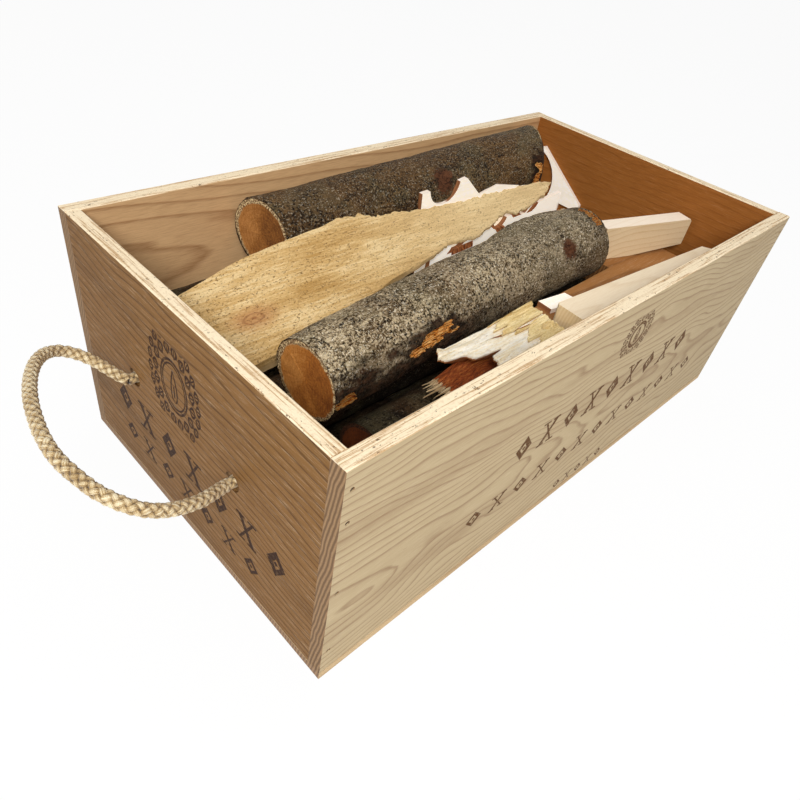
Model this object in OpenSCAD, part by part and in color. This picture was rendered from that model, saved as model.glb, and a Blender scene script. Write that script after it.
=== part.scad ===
// Kindling box: a nailed pine case with rope handles, filled with logs and
// split wood. The long side boards run past the two end boards, and a thin
// base panel closes the bottom. The wood is laid piece by piece: a function
// finds the height at which each log rests on the ones already laid, so the
// pile settles again when a size changes.
// X runs along the box, Y from the front board to the back board, Z up.
// The origin is the middle of the underside.

/* [Box] */
// Overall length of the box
box_length = 500; // [480:1:560]
// Overall width of the box
box_width = 272; // [256:1:310]
// Overall height of the box, with its base panel
box_height = 178; // [168:1:240]
// Thickness of the two long side boards
side_thickness = 10.5; // [9:0.5:14]
// Thickness of the two end boards
end_thickness = 9.5; // [8:0.5:12]
// Thickness of the base panel
base_thickness = 6; // [4:0.5:10]
// Bevel that eases the long edges of the boards
board_bevel = 0.8; // [0.3:0.1:1.5]

/* [Nails] */
// Diameter of a nail's shank
nail_diameter = 1.6; // [1.2:0.1:2]
// Diameter of a nail's head
nail_head_diameter = 2.8; // [2.4:0.1:3.4]
// Height of a nail's head
nail_head_height = 0.8; // [0.5:0.1:1.2]
// Depth at which the heads are set below the wood's surface
nail_sink = 0.6; // [0.2:0.1:1]
// Length of the nails that join the side boards to the end boards
corner_nail_length = 30; // [24:1:36]
// Length of the nails that hold the base panel
base_nail_length = 25; // [18:1:32]
// Base nails in each long edge
base_nails_long = 5; // [3:1:9]
// Base nails in each short edge
base_nails_short = 2; // [2:1:4]

/* [Rope handles] */
// Diameter of the plaited rope
rope_diameter = 8; // [6:0.5:9]
// Space round the rope in its hole
rope_clearance = 2.5; // [1:0.5:4]
// Distance between the two rope holes of one end
hole_spacing = 110; // [90:1:120]
// How far the pair of holes sits towards the back board
hole_shift = 5; // [0:1:10]
// Height of the rope holes above the underside
hole_height = 94; // [88:1:110]
// Angle by which a rope handle stands up at rest
handle_rise = 30; // [0:1:60]
// Diameter of the stopper knots inside the box
knot_diameter = 22; // [18:0.5:24]
// Length of a stopper knot along the rope
knot_length = 14; // [11:0.5:16]
// Length of the rope's tail past the knot
tail_length = 9; // [4:1:12]

/* [Hidden logs] */
// Radius of the four logs on the base panel
base_log_radius = 27; // [24:0.5:28]
// Radius of the middle log of the second layer
inner_log_radius = 24.5; // [22:0.5:26]
// Radius of the front log of the second layer at its left end
front_inner_left_radius = 25; // [22:0.5:26]
// Radius of the front log of the second layer at its right end
front_inner_right_radius = 24; // [22:0.5:26]
// Distance from the left end board to the front log of the second layer
front_inner_inset = 89; // [70:1:100]
// Radius of the second layer's log by the back board at its left end
rear_inner_left_radius = 29; // [27:0.5:30]
// Radius of the second layer's log by the back board at its right end
rear_inner_right_radius = 28.5; // [27:0.5:30]
// Radius of the thin log of the second layer
thin_log_radius = 18; // [14:0.5:20]

/* [Top logs] */
// Radius of the log along the back board at its left end
back_log_left_radius = 27; // [25:0.5:29]
// Radius of the log along the back board at its right end
back_log_right_radius = 31.5; // [29:0.5:33]
// Distance from the left end board to the back log
back_log_inset = 112.5; // [100:0.5:130]
// Distance from the back log to the right end board
back_log_room = 55.5; // [50:0.5:70]
// Angle of the saw cut at the back log's left end
back_log_left_cut = 10; // [0:1:15]
// Angle of the saw cut at the back log's right end
back_log_right_cut = 40; // [30:1:42]
// Radius of the middle log at its left end
middle_log_left_radius = 28.8; // [27:0.1:30]
// Radius of the middle log at its right end
middle_log_right_radius = 31.4; // [30:0.1:32.5]
// Distance from the left end board to the middle log
middle_log_inset = 57; // [40:1:70]
// Distance from the middle log to the right end board
middle_log_room = 110; // [100:1:125]
// How far the middle log's left end lies in front of the box's middle
middle_log_left_shift = 27; // [23:1:29]
// How far the middle log's right end lies in front of the box's middle
middle_log_right_shift = 15; // [12:1:17]
// Diameter of the branch stub on the back log
stub_diameter = 15; // [10:1:18]
// How far the branch stub stands out of the bark
stub_height = 1; // [0.5:0.25:1.5]

/* [Split wood] */
// Length of the split plank, from its sawn end to its torn tip
plank_length = 415; // [380:1:440]
// Thickness of the split plank at its front edge
plank_thickness = 8; // [6:0.5:11]
// Thickness of the split plank at its back edge
plank_back_thickness = 2; // [1.5:0.5:5]
// Angle at which the split plank leans back against the back log
plank_lean = 38.5; // [34:0.5:42]
// Thickness of the bottle-cradle slats
slat_thickness = 4; // [3:0.5:5]
// Radius of the bottle-body cut-out in the end slat
body_notch_radius = 33; // [30:0.5:35]
// Radius of the bottle-neck cut-out in the rear slat
neck_notch_radius = 17.6; // [15:0.1:18.5]
// Radius of the largest notch in the slat under the plank
prong_notch_radius = 12; // [10:0.5:13]
// Distance from the left end board to the rear slat
rear_slat_inset = 242; // [230:1:250]
// Length of the rear slat
rear_slat_length = 160; // [140:1:170]
// Height of the rear slat at its left end
rear_slat_height = 74; // [70:1:78]
// Distance from the left end board to the slat under the plank
under_slat_inset = 236; // [230:1:242]
// Length of the slat under the plank
under_slat_length = 195; // [180:1:200]
// Distance from the back board to the end slat's front corner
end_slat_reach = 76.5; // [70:0.5:80]
// Height of the end slat above its foot on the stopper knot
end_slat_height = 48; // [40:1:52]
// Distance from the left end board to the torn billet
torn_inset = 148; // [140:1:155]
// Length of the torn billet without its splinters
torn_length = 85; // [75:1:95]
// Height of the torn billet
torn_height = 36; // [28:1:40]
// Distance from the stick to the right end board
stick_room = 42; // [30:1:50]
// Width of the stick along the front board
stick_width = 26; // [20:1:30]
// Height of the stick along the front board
stick_height = 26.5; // [20:0.5:30]
// Thickness of the old board under the stick
board_thickness = 20; // [16:0.5:24]
// Width of the old board under the stick
board_width = 98; // [92:1:102]
// Distance from the front board to the batten's left end
batten_inset = 104; // [98:1:108]
// Width of the pine batten's top edge
batten_width = 15; // [12:0.5:18]
// Height of the pine batten at its left end
batten_height = 30; // [26:0.5:34]

/* [Clearances] */
// Gap between pieces that lie on or lean against each other
seat_gap = 0.3; // [0.2:0.05:0.5]
// Least space between loose pieces that lie side by side
side_gap = 3; // [2:0.5:4]

/* [Hidden] */
$fn = 32;
nail_facets = 13;
rope_facets = 20;

// Inside of the box: half length, half width, floor and height of the boards
inner_x = box_length / 2 - end_thickness;
inner_y = box_width / 2 - side_thickness;
floor_z = base_thickness;
board_height = box_height - base_thickness;
cut_margin = 1;

// Depths of the corner nails below the rim
corner_nail_depths = [14, 37, 93, 150];
// Distance from a corner to the first base nail
base_nail_inset = 25;

hole_radius = rope_diameter / 2 + rope_clearance;
hole_ys = [hole_shift + hole_spacing / 2, hole_shift - hole_spacing / 2];
// The handle swings about an axis just outside the end board
pivot_offset = rope_diameter / 2 + seat_gap;
// Clear length of the inner logs, between the tails of the stopper knots
log_room = inner_x - knot_length - tail_length - side_gap;

// Route of a rope handle in its own plane: distance out from the pivot axis,
// and distance along the box from the rear hole, then from the front one
rope_rear = [
    [0, 0], [4, 4], [8, 11], [13, 20], [21, 27], [31, 29], [42, 24], [53, 12], [64, -7],
    [73, -29]
];
rope_front = [
    [79, 59], [82, 41], [82, 26], [79, 13], [75, 2], [68, -7], [59, -13], [47, -15],
    [33, -13], [20, -9], [9, -4], [0, 0]
];
rope_route = concat(
    [for (p = rope_rear) [p[0], hole_ys[0] + p[1]]],
    [for (p = rope_front) [p[0], hole_ys[1] + p[1]]]);
rope_sides = 10;

// ---------------------------------------------------------------- numbers

function mix(a, b, t) = a + (b - a) * t;
function unit(v) = v / norm(v);

// A number from -1 to 1 that looks random but is the same every time
function wobble(seed) = sin(seed * 137.5) * cos(seed * 61.3 + 20);

// A laid log is two ends, each [x, y, z, radius]. Its section at x:
function section_at(wood, x) =
    mix(wood[0], wood[1], (x - wood[0][0]) / (wood[1][0] - wood[0][0]));

// A log may stick out past the end of the one that carries it by this much
overhang = 30;
function reaches(wood, x) = x >= wood[0][0] - overhang && x <= wood[1][0] + overhang;

// Height of the axis of a round that comes to rest on the floor or on logs
function round_rest(x, y, r, below) = max([
    floor_z + seat_gap + r,
    for (wood = below)
        let (s = section_at(wood, x), reach = s[3] + r + seat_gap, dy = y - s[1])
            reaches(wood, x) && abs(dy) < reach ? s[2] + sqrt(reach * reach - dy * dy) : 0
]);

// Height at which a flat underside comes to rest over the point (x, y)
function flat_rest(x, y, below) = max([
    floor_z + seat_gap,
    for (wood = below)
        let (s = section_at(wood, x), reach = s[3] + seat_gap, dy = y - s[1])
            reaches(wood, x) && abs(dy) < reach ? s[2] + sqrt(reach * reach - dy * dy) : 0
]);

// Lays a log with ends [x, y, radius] on what is below it
lay_steps = 16;
function lay(a, b, below) =
    let (
        za = round_rest(a[0], a[1], a[2], below),
        zb = round_rest(b[0], b[1], b[2], below),
        lift = max([
            for (i = [0:lay_steps])
                let (p = mix(a, b, i / lay_steps))
                    round_rest(p[0], p[1], p[2], below) - mix(za, zb, i / lay_steps)
        ])
    )
    [[a[0], a[1], za + lift, a[2]], [b[0], b[1], zb + lift, b[2]]];

// ---------------------------------------------------------- pile of wood

base_log_pitch = (2 * inner_y - 2 * base_log_radius - 2 * seat_gap) / 3;
function base_log_y(i) = -inner_y + seat_gap + base_log_radius + i * base_log_pitch;
function base_log(i) =
    let (end = inner_x - side_gap - 4 * abs(wobble(i + 1)))
        lay([-end, base_log_y(i), base_log_radius], [end - side_gap, base_log_y(i), base_log_radius], []);
base_logs = [for (i = [0:3]) base_log(i)];

function groove_y(i) = base_log_y(i) + base_log_pitch / 2;
front_inner = lay(
    [-inner_x + front_inner_inset, groove_y(0), front_inner_left_radius],
    [log_room, groove_y(0), front_inner_right_radius], base_logs);
middle_inner = lay(
    [-log_room, groove_y(1), inner_log_radius],
    [log_room, groove_y(1), inner_log_radius], base_logs);
rear_inner = lay(
    [-log_room, inner_y - seat_gap - rear_inner_left_radius, rear_inner_left_radius],
    [log_room, inner_y - seat_gap - rear_inner_right_radius, rear_inner_right_radius],
    base_logs);
thin_y = inner_y - 2 * seat_gap - 2 * rear_inner_left_radius - thin_log_radius;
thin_inner = lay(
    [-log_room, thin_y, thin_log_radius], [log_room, thin_y, thin_log_radius], base_logs);
inner_logs = [front_inner, middle_inner, thin_inner, rear_inner];

back_left = -inner_x + back_log_inset;
back_right = inner_x - back_log_room;
back_wood = lay(
    [back_left, inner_y - seat_gap - back_log_left_radius, back_log_left_radius],
    [back_right, inner_y - seat_gap - back_log_right_radius, back_log_right_radius],
    inner_logs);
middle_left = -inner_x + middle_log_inset;
middle_right = inner_x - middle_log_room;
middle_wood = lay(
    [middle_left, -middle_log_left_shift, middle_log_left_radius],
    [middle_right, -middle_log_right_shift, middle_log_right_radius],
    inner_logs);

// Where the middle log's front and back flanks are, seen from above
function middle_flank(x, side) =
    let (s = section_at(middle_wood, x)) s[1] + side * (s[3] + seat_gap);

// ------------------------------------------------------------ rear slat

// The rear slat stands on edge along the front flank of the back log. The
// notch and the branch stub behind it are placed from its left end
rear_slat_left = -inner_x + rear_slat_inset;
notch_place = 26;
stub_place = 42;
rear_slat_right = rear_slat_left + rear_slat_length;
function rear_slat_y(x) = let (s = section_at(back_wood, x)) s[1] - s[3] - seat_gap;
rear_slat_turn = atan2(
    rear_slat_y(rear_slat_right) - rear_slat_y(rear_slat_left), rear_slat_length);
rear_slat_z = max([
    for (x = [rear_slat_left:5:rear_slat_right])
        for (back = [0, 0.5, 1]) flat_rest(x, rear_slat_y(x) - back * slat_thickness, inner_logs)
]);
function rear_slat_front(x) = rear_slat_y(x) - slat_thickness / cos(rear_slat_turn);

// ------------------------------------------------------------- the plank

// The plank's outline from above: distance from its sawn end, then the
// distances from the back board to its front edge and to its back edge
plank_outline = [
    [0, 118, 73], [26, 116, 68.5], [66, 113, 61.5], [98, 110, 58.5], [124, 107, 56.5],
    [142, 104.5, 56], [158, 102, 54], [178, 98, 55.5], [190, 96.5, 58.5], [212, 94.5, 59.5],
    [230, 92.5, 61.5], [240, 90.5, 63], [253, 88.5, 62.5], [268, 89.5, 64], [284, 90.5, 65],
    [300, 88, 65.5], [318, 84, 65], [336, 80.5, 65.5], [348, 83.5, 66], [370, 82, 66.5],
    [399, 76.5, 67.5], [408, 74, 69], [415, 72, 70]
];
plank_left = -inner_x + side_gap;
plank_scale = plank_length / plank_outline[len(plank_outline) - 1][0];
plank_rim = [
    for (p = plank_outline)
        let (x = plank_left + plank_scale * p[0], back = inner_y - p[2])
            [x, inner_y - p[1], x < rear_slat_left ? back : min(back, rear_slat_front(x) - 2 * seat_gap)]
];
// The face before it is lifted on to what carries it, and the plank's depth
// below a point of the face, straight down. Its front edge thins to the right
function plank_face(y) = tan(plank_lean) * y;
function plank_edge(x) =
    mix(plank_thickness, plank_back_thickness, min(1, max(0, (x - plank_left - 150) / 100)));
function plank_depth(x, y) =
    mix(plank_edge(x), plank_back_thickness, (y - inner_y + 118) / 66) / cos(plank_lean);
plank_carriers = concat(inner_logs, [back_wood, middle_wood]);
plank_lift = max([
    for (p = plank_rim)
        for (t = [0:0.1:1])
            let (y = mix(p[1], p[2], t))
                flat_rest(p[0], y, plank_carriers) - plank_face(y) + plank_depth(p[0], y)
]);
function plank_top(y) = plank_lift + plank_face(y);
function plank_under(x, y) = plank_top(y) - plank_depth(x, y);

// ------------------------------------------------------- the other slats

// The slat under the plank's front edge: its middle line and its foot
under_slat_left = -inner_x + under_slat_inset;
under_slat_turn = 3;
under_slat_reach = 85.5;
function under_slat_y(x) = inner_y - under_slat_reach + (x - under_slat_left) * tan(under_slat_turn);
under_slat_z = max([
    for (x = [under_slat_left:10:under_slat_left + under_slat_length])
        for (side = [-0.5, 0, 0.5])
            flat_rest(x, under_slat_y(x) + side * slat_thickness, inner_logs)
]);

// The end slat stands on the rear stopper knot, flat against the right end
end_slat_foot = hole_height + knot_diameter / 2 + seat_gap;

// ------------------------------------------------------ front of the pile

torn_left = -inner_x + torn_inset;
torn_right = torn_left + torn_length;
torn_z = max([for (x = [torn_left:10:torn_right]) flat_rest(x, groove_y(0), inner_logs)]);
board_inset = 16;
board_left = torn_right + board_inset;
board_right = log_room + side_gap;
board_z = max([
    for (x = [board_left:10:log_room])
        for (y = [groove_y(0), groove_y(1)]) flat_rest(x, y, inner_logs)
]);
board_top = board_z + board_thickness;
stick_left = torn_right + 1;
stick_right = inner_x - stick_room;
stick_length = stick_right - stick_left;
stick_turn = -4.5;
batten_turn = -17;
batten_left = middle_right + side_gap + batten_width * sin(-batten_turn);
batten_right = inner_x - side_gap;

// ----------------------------------------------------------------- shapes

// A closed solid through a row of sections with equally many points, which
// run clockwise as seen from the last section
module loft(sections) {
    n = len(sections[0]);
    last = (len(sections) - 1) * n;
    sides = [
        for (i = [0:n:last - n])
            for (j = [0:n - 1])
                let (a = i + j, b = i + (j + 1) % n)
                    each [[a, b, a + n], [b, b + n, a + n]]
    ];
    caps = [for (j = [1:n - 2]) each [[0, j + 1, j], [last, last + j, last + j + 1]]];
    polyhedron([for (s = sections) each s], concat(sides, caps));
}

// A board along X with its four long edges eased, its corner at the origin
module eased_board(size) {
    b = board_bevel;
    y = size[1];
    z = size[2];
    outline = [[b, 0], [y - b, 0], [y, b], [y, z - b], [y - b, z], [b, z], [0, z - b], [0, b]];
    rotate([90, 0, 90])
        linear_extrude(size[0]) polygon(outline);
}

// A nail that points along -Z with its head's top at the origin
module nail(length) {
    translate([0, 0, -nail_head_height])
        cylinder(h = nail_head_height, d = nail_head_diameter, $fn = nail_facets);
    translate([0, 0, -length])
        cylinder(h = length - nail_head_height, d = nail_diameter, $fn = nail_facets);
}

// The nail and the small pit above its head
module nail_seat(length) {
    nail(length);
    cylinder(h = nail_sink + cut_margin, d = nail_head_diameter, $fn = nail_facets);
}

// Places its children at each corner nail, pointing into the end board's edge
module at_corner_nails(y_signs) {
    x = box_length / 2 - end_thickness / 2;
    for (sx = [-1, 1])
        for (sy = y_signs)
            for (depth = corner_nail_depths)
                translate([sx * x, sy * (box_width / 2 - nail_sink), box_height - depth])
                    rotate([-90 * sy, 0, 0]) children();
}

// Places its children at each base nail, pointing up into the boards' edges
module at_base_nails() {
    y_side = box_width / 2 - side_thickness / 2;
    x_end = box_length / 2 - end_thickness / 2;
    for (sy = [-1, 1])
        for (i = [0:base_nails_long - 1]) {
            x = mix(-box_length / 2 + base_nail_inset, box_length / 2 - base_nail_inset,
                i / (base_nails_long - 1));
            translate([x, sy * y_side, nail_sink]) rotate([180, 0, 0]) children();
        }
    for (sx = [-1, 1])
        for (i = [1:base_nails_short]) {
            y = mix(-inner_y, inner_y, i / (base_nails_short + 1));
            translate([sx * x_end, y, nail_sink]) rotate([180, 0, 0]) children();
        }
}

// A log from one end to the other: bark, and sawn wood just proud of it
module wood_round(wood) {
    a = wood[0];
    b = wood[1];
    step = [b[0] - a[0], b[1] - a[1], b[2] - a[2]];
    length = norm(step);
    bark = 2.5;
    proud = 0.6;
    translate([a[0], a[1], a[2]])
        rotate([0, acos(step[2] / length), atan2(step[1], step[0])]) {
            translate([0, 0, proud])
                cylinder(h = length - 2 * proud, r1 = a[3], r2 = b[3]);
            cylinder(h = length, r1 = a[3] - bark, r2 = b[3] - bark);
        }
}

// A ring of a rope: its centre, the way that the rope runs, and its radius
function rope_ring(centre, along, radius) =
    let (across = [along[1], -along[0]])
        [
            for (k = [0:rope_sides - 1])
                let (a = 360 * (k + 0.5) / rope_sides, side = radius * cos(a))
                    [centre[0] + side * across[0], centre[1] + side * across[1], radius * sin(a)]
        ];

// One rope handle, at the right end and flat, with its pivot at the origin.
// Its ends are rounded about the pivot
module rope_loop() {
    last = len(rope_route) - 1;
    r = rope_diameter / 2;
    round_off = [75, 50, 25];
    function run(i) =
        unit(rope_route[min(i + 1, last)] - rope_route[max(i - 1, 0)]);
    loft(concat(
        [for (a = round_off) rope_ring(rope_route[0] - run(0) * r * sin(a), run(0), r * cos(a))],
        [for (i = [0:last]) rope_ring(rope_route[i], run(i), r)],
        [
            for (i = [len(round_off) - 1:-1:0])
                let (a = round_off[i])
                    rope_ring(rope_route[last] + run(last) * r * sin(a), run(last), r * cos(a))
        ]
    ));
}

// Knots and the rope through the holes, at the right end
module rope_knots() {
    half = knot_length / 2;
    waist = 0.8 * knot_diameter / 2;
    for (y = hole_ys)
        translate([inner_x, y, hole_height]) {
            rotate([0, 90, 0])
                cylinder(h = end_thickness, d = rope_diameter, $fn = rope_facets);
            rotate([0, -90, 0])
                rotate_extrude($fn = rope_facets)
                    difference() {
                        union() {
                            translate([0, 0]) square([waist, knot_length]);
                            for (z = [half / 2, 3 * half / 2])
                                translate([knot_diameter / 2 - half / 2, z]) circle(half / 2, $fn = 16);
                            translate([0, knot_length - cut_margin])
                                square([rope_diameter / 2, tail_length + cut_margin]);
                        }
                        translate([-knot_diameter, -cut_margin])
                            square([knot_diameter, knot_length + tail_length + 3 * cut_margin]);
                    }
        }
}

// The end board of the right side, nailed at its edges, with two rope holes
module end_board() {
    difference() {
        translate([inner_x, -inner_y, base_thickness])
            rotate([0, 0, 90])
                translate([0, -end_thickness, 0])
                    eased_board([2 * inner_y, end_thickness, board_height]);
        for (y = hole_ys)
            translate([inner_x - cut_margin, y, hole_height])
                rotate([0, 90, 0])
                    cylinder(h = end_thickness + 2 * cut_margin, r = hole_radius);
        at_corner_nails([-1, 1]) nail_seat(corner_nail_length);
        at_base_nails() nail_seat(base_nail_length);
    }
}

// A long side board at the back, over the ends of both end boards
module side_board(side) {
    difference() {
        translate([-box_length / 2, side > 0 ? inner_y : -box_width / 2, base_thickness])
            eased_board([box_length, side_thickness, board_height]);
        at_corner_nails([side]) nail_seat(corner_nail_length);
        at_base_nails() nail_seat(base_nail_length);
    }
}

// ------------------------------------------------------------ box and rope

module front_board() {
    color("burlywood") side_board(-1);
}

module back_board() {
    color("burlywood") side_board(1);
}

module right_end_board() {
    color("tan") end_board();
}

module left_end_board() {
    color("tan") mirror([1, 0, 0]) end_board();
}

module base_panel() {
    color("wheat")
        difference() {
            translate([-box_length / 2, -box_width / 2, 0])
                cube([box_length, box_width, base_thickness]);
            at_base_nails() nail_seat(base_nail_length);
        }
}

module corner_nails() {
    color("dimgray") at_corner_nails([-1, 1]) nail(corner_nail_length);
}

module base_nails() {
    color("dimgray") at_base_nails() nail(base_nail_length);
}

module right_rope_knots() {
    color("peru") rope_knots();
}

module left_rope_knots() {
    color("peru") mirror([1, 0, 0]) rope_knots();
}

module right_rope_handle() {
    color("peru")
        translate([box_length / 2 + pivot_offset, 0, hole_height])
            rotate([0, -handle_rise, 0]) rope_loop();
}

module left_rope_handle() {
    mirror([1, 0, 0]) right_rope_handle();
}

// ------------------------------------------------------------ pile of logs

module base_log_1() {
    color("saddlebrown") wood_round(base_logs[0]);
}

module base_log_2() {
    color("saddlebrown") wood_round(base_logs[1]);
}

module base_log_3() {
    color("saddlebrown") wood_round(base_logs[2]);
}

module base_log_4() {
    color("saddlebrown") wood_round(base_logs[3]);
}

module front_inner_log() {
    color("sienna") wood_round(front_inner);
}

module middle_inner_log() {
    color("sienna") wood_round(middle_inner);
}

module thin_inner_log() {
    color("sienna") wood_round(thin_inner);
}

module rear_inner_log() {
    color("sienna") wood_round(rear_inner);
}

// Sawn aslant at both ends, with the stub of a branch on its front
module back_log() {
    s = section_at(back_wood, rear_slat_left + stub_place);
    big = 4 * back_log_right_radius;
    color("dimgray")
        difference() {
            union() {
                wood_round([section_at(back_wood, back_left - 30), section_at(back_wood, back_right + 30)]);
                translate([s[0], s[1], s[2]])
                    rotate([60, 0, 0]) {
                        cylinder(h = s[3] + stub_height, d = stub_diameter);
                        translate([0, 0, s[3] + stub_height])
                            cylinder(h = 1, d1 = stub_diameter, d2 = stub_diameter - 3);
                    }
            }
            translate([back_left, back_wood[0][1], back_wood[0][2]])
                rotate([0, 0, back_log_left_cut])
                    translate([-big, -big / 2, -big / 2]) cube(big);
            translate([back_right, back_wood[1][1], back_wood[1][2]])
                rotate([0, 0, -back_log_right_cut])
                    translate([0, -big / 2, -big / 2]) cube(big);
        }
}

module middle_log() {
    color("gray") wood_round(middle_wood);
}

// ------------------------------------------------------------- split wood

// A split plank, thin at the back, torn to a tip at the right
module split_plank() {
    crown = 1.2;
    color("khaki")
        loft([
            for (p = plank_rim)
                let (x = p[0], yf = p[1], yb = p[2], ym = mix(yf, yb, 0.45))
                    [
                        [x, yf, plank_under(x, yf)], [x, yf, plank_top(yf) - 1],
                        [x, mix(yf, yb, 0.06), plank_top(mix(yf, yb, 0.06))],
                        [x, ym, plank_top(ym) + crown * wobble(x)],
                        [x, yb, plank_top(yb)], [x, yb, plank_under(x, yb)],
                        [x, ym, plank_under(x, ym)]
                    ]
        ]);
}

// A slat on edge behind the plank, with a neck cut-out and a broken end
module rear_slat() {
    l = rear_slat_length;
    top = rear_slat_height;
    outline = [
        [7, 0], [l, 0], [l, 0.74 * top], [0.83 * l, 0.79 * top], [0.6 * l, 0.88 * top],
        [0.53 * l, 0.85 * top], [0.455 * l, 0.82 * top], [0.325 * l, top + 4.5],
        [0.27 * l, top + 3], [0, top]
    ];
    color("mistyrose")
        translate([rear_slat_left, rear_slat_y(rear_slat_left), rear_slat_z])
            rotate([0, 0, rear_slat_turn])
                rotate([90, 0, 0])
                    linear_extrude(slat_thickness)
                        difference() {
                            polygon(outline);
                            translate([notch_place, top + 4.4]) circle(neck_notch_radius);
                        }
}

// A slat against the right end board, with the arc of a bottle cut-out. Its
// outline is measured from the back board and from its foot on the knot
module end_slat() {
    heel = inner_y - hole_ys[0] - knot_diameter / 2 - side_gap;
    r = end_slat_reach;
    h = end_slat_height;
    outline = [
        [0.14 * r, 0.94 * h], [0.23 * r, h], [r, 0.15 * h], [r, 0], [heel, 0], [heel, -0.4 * h],
        [0.28 * r, -0.52 * h], [0.14 * r, -0.52 * h]
    ];
    color("mistyrose")
        translate([inner_x - seat_gap - slat_thickness, inner_y, end_slat_foot])
            rotate([90, 0, 90])
                mirror([1, 0, 0])
                    linear_extrude(slat_thickness)
                        difference() {
                            polygon(outline);
                            translate([0.07 * r, 0.25 * h]) circle(body_notch_radius);
                        }
}

// A slat on edge under the plank's front edge, notched between its prongs
module under_slat() {
    notches = [[0.18, 1, 2], [0.48, 0.875, 2], [0.67, 0.75, 3]];
    function rise_at(d) =
        let (x = under_slat_left + d)
            plank_under(x, under_slat_y(x) - 0.6 * slat_thickness) - under_slat_z - seat_gap;
    color("mistyrose")
        translate([under_slat_left, under_slat_y(under_slat_left), under_slat_z])
            rotate([0, 0, under_slat_turn])
                rotate([90, 0, 0])
                    translate([0, 0, -slat_thickness / 2])
                        linear_extrude(slat_thickness)
                            difference() {
                                polygon([
                                    [0, 0], [under_slat_length, 0],
                                    [under_slat_length, rise_at(under_slat_length) - 1],
                                    [0, rise_at(0) - 1]
                                ]);
                                for (n = notches)
                                    translate([
                                        n[0] * under_slat_length,
                                        rise_at(n[0] * under_slat_length) + n[2]
                                    ])
                                        circle(n[1] * prong_notch_radius);
                            }
}

// A short end of a slat on the old board, beside the middle log
module slat_offcut() {
    x = board_left + 14;
    y = middle_flank(x + 16, -1) - side_gap;
    color("mistyrose")
        translate([x, y, board_top + seat_gap])
            rotate([0, 0, -4])
                linear_extrude(slat_thickness)
                    difference() {
                        polygon([[0, 0], [0, -13], [32, -16], [30, -2]]);
                        translate([18, -22]) circle(9);
                    }
}

// A torn billet at the front, with splinters at its left end
module torn_billet() {
    near = -inner_y + seat_gap;
    function far(x) = middle_flank(x, -1) - side_gap;
    function top(x, t) = torn_z + torn_height - 5 + 4 * t + 1.5 * wobble(x + 9 * t);
    stations = [for (i = [0:8]) mix(torn_left, torn_right, i / 8)];
    fingers = 9;
    color("bisque") {
        loft([
            for (x = stations)
                let (yf = near, yb = far(x))
                    [
                        [x, yf + 4, torn_z], [x, yf, torn_z + 6], [x, yf, top(x, 0) - 4],
                        [x, mix(yf, yb, 0.35), top(x, 0.4)], [x, mix(yf, yb, 0.7), top(x, 0.8)],
                        [x, yb, top(x, 1) - 5], [x, yb, torn_z + 8], [x, yb - 8, torn_z]
                    ]
        ]);
        for (i = [0:fingers - 1]) {
            width = (far(torn_left) - near) / fingers;
            y = near + 1 + i * width;
            z = torn_z + (i % 2 == 0 ? 12 : 17) + 3 * wobble(i);
            reach = 14 + 20 * abs(wobble(i + 4));
            splinter(torn_left + 3, y, z, width - 1.2, 8, reach, 2 * wobble(i + 7));
        }
    }
}

// One splinter that points left and comes to a thin edge
module splinter(x, y, z, width, height, reach, droop) {
    edge = 0.4;
    tip = z + height / 2 + droop;
    loft([
        [[x - reach, y + width / 2 - edge, tip - edge], [x - reach, y + width / 2 - edge, tip + edge],
            [x - reach, y + width / 2 + edge, tip + edge], [x - reach, y + width / 2 + edge, tip - edge]],
        [[x, y, z], [x, y, z + height], [x, y + width, z + height], [x, y + width, z]]
    ]);
}

// A squared stick along the front board, with its right end rounded off
module front_stick() {
    bevel = 2;
    color("navajowhite")
        translate([stick_right, -inner_y + side_gap, board_top + seat_gap])
            rotate([0, 0, stick_turn])
                translate([-stick_length, 0, 0])
                    linear_extrude(stick_height)
                        polygon([
                            [0, 0], [stick_length - 5, 0], [stick_length, 6],
                            [stick_length, stick_width - 9], [stick_length - 6, stick_width],
                            [bevel, stick_width], [0, stick_width - bevel]
                        ]);
}

// An old board, broken at its back left corner, under the stick
module old_board() {
    near = -inner_y + side_gap;
    color("chocolate")
        translate([0, 0, board_z])
            linear_extrude(board_thickness)
                polygon([
                    [board_left, near], [board_right, near],
                    [board_right, near + board_width],
                    [middle_right + side_gap, near + board_width],
                    [middle_right + side_gap, middle_flank(middle_right, -1) - side_gap],
                    [board_left, middle_flank(board_left, -1) - side_gap]
                ]);
}

// A pine batten on edge, from the middle log's end to the right end board
module pine_batten() {
    length = (batten_right - batten_left) / cos(batten_turn);
    color("moccasin")
        translate([batten_left, -inner_y + batten_inset, board_top + seat_gap])
            rotate([0, 0, batten_turn])
                rotate([90, 0, 0])
                    linear_extrude(batten_width)
                        polygon([
                            [0, 0], [length * 0.4, 0], [length, 5], [length, batten_height - 2],
                            [length - 2, batten_height], [0, batten_height]
                        ]);
}

front_board();
back_board();
left_end_board();
right_end_board();
base_panel();
corner_nails();
base_nails();
left_rope_knots();
right_rope_knots();
left_rope_handle();
right_rope_handle();
base_log_1();
base_log_2();
base_log_3();
base_log_4();
front_inner_log();
middle_inner_log();
thin_inner_log();
rear_inner_log();
back_log();
middle_log();
split_plank();
rear_slat();
end_slat();
under_slat();
slat_offcut();
torn_billet();
front_stick();
old_board();
pine_batten();
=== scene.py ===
"""Looks of the kindling box: a nailed pine case with rope handles, full of firewood."""

import math
from collections import namedtuple

import bpy
import numpy as np
from mathutils import Matrix, Vector, noise


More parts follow.
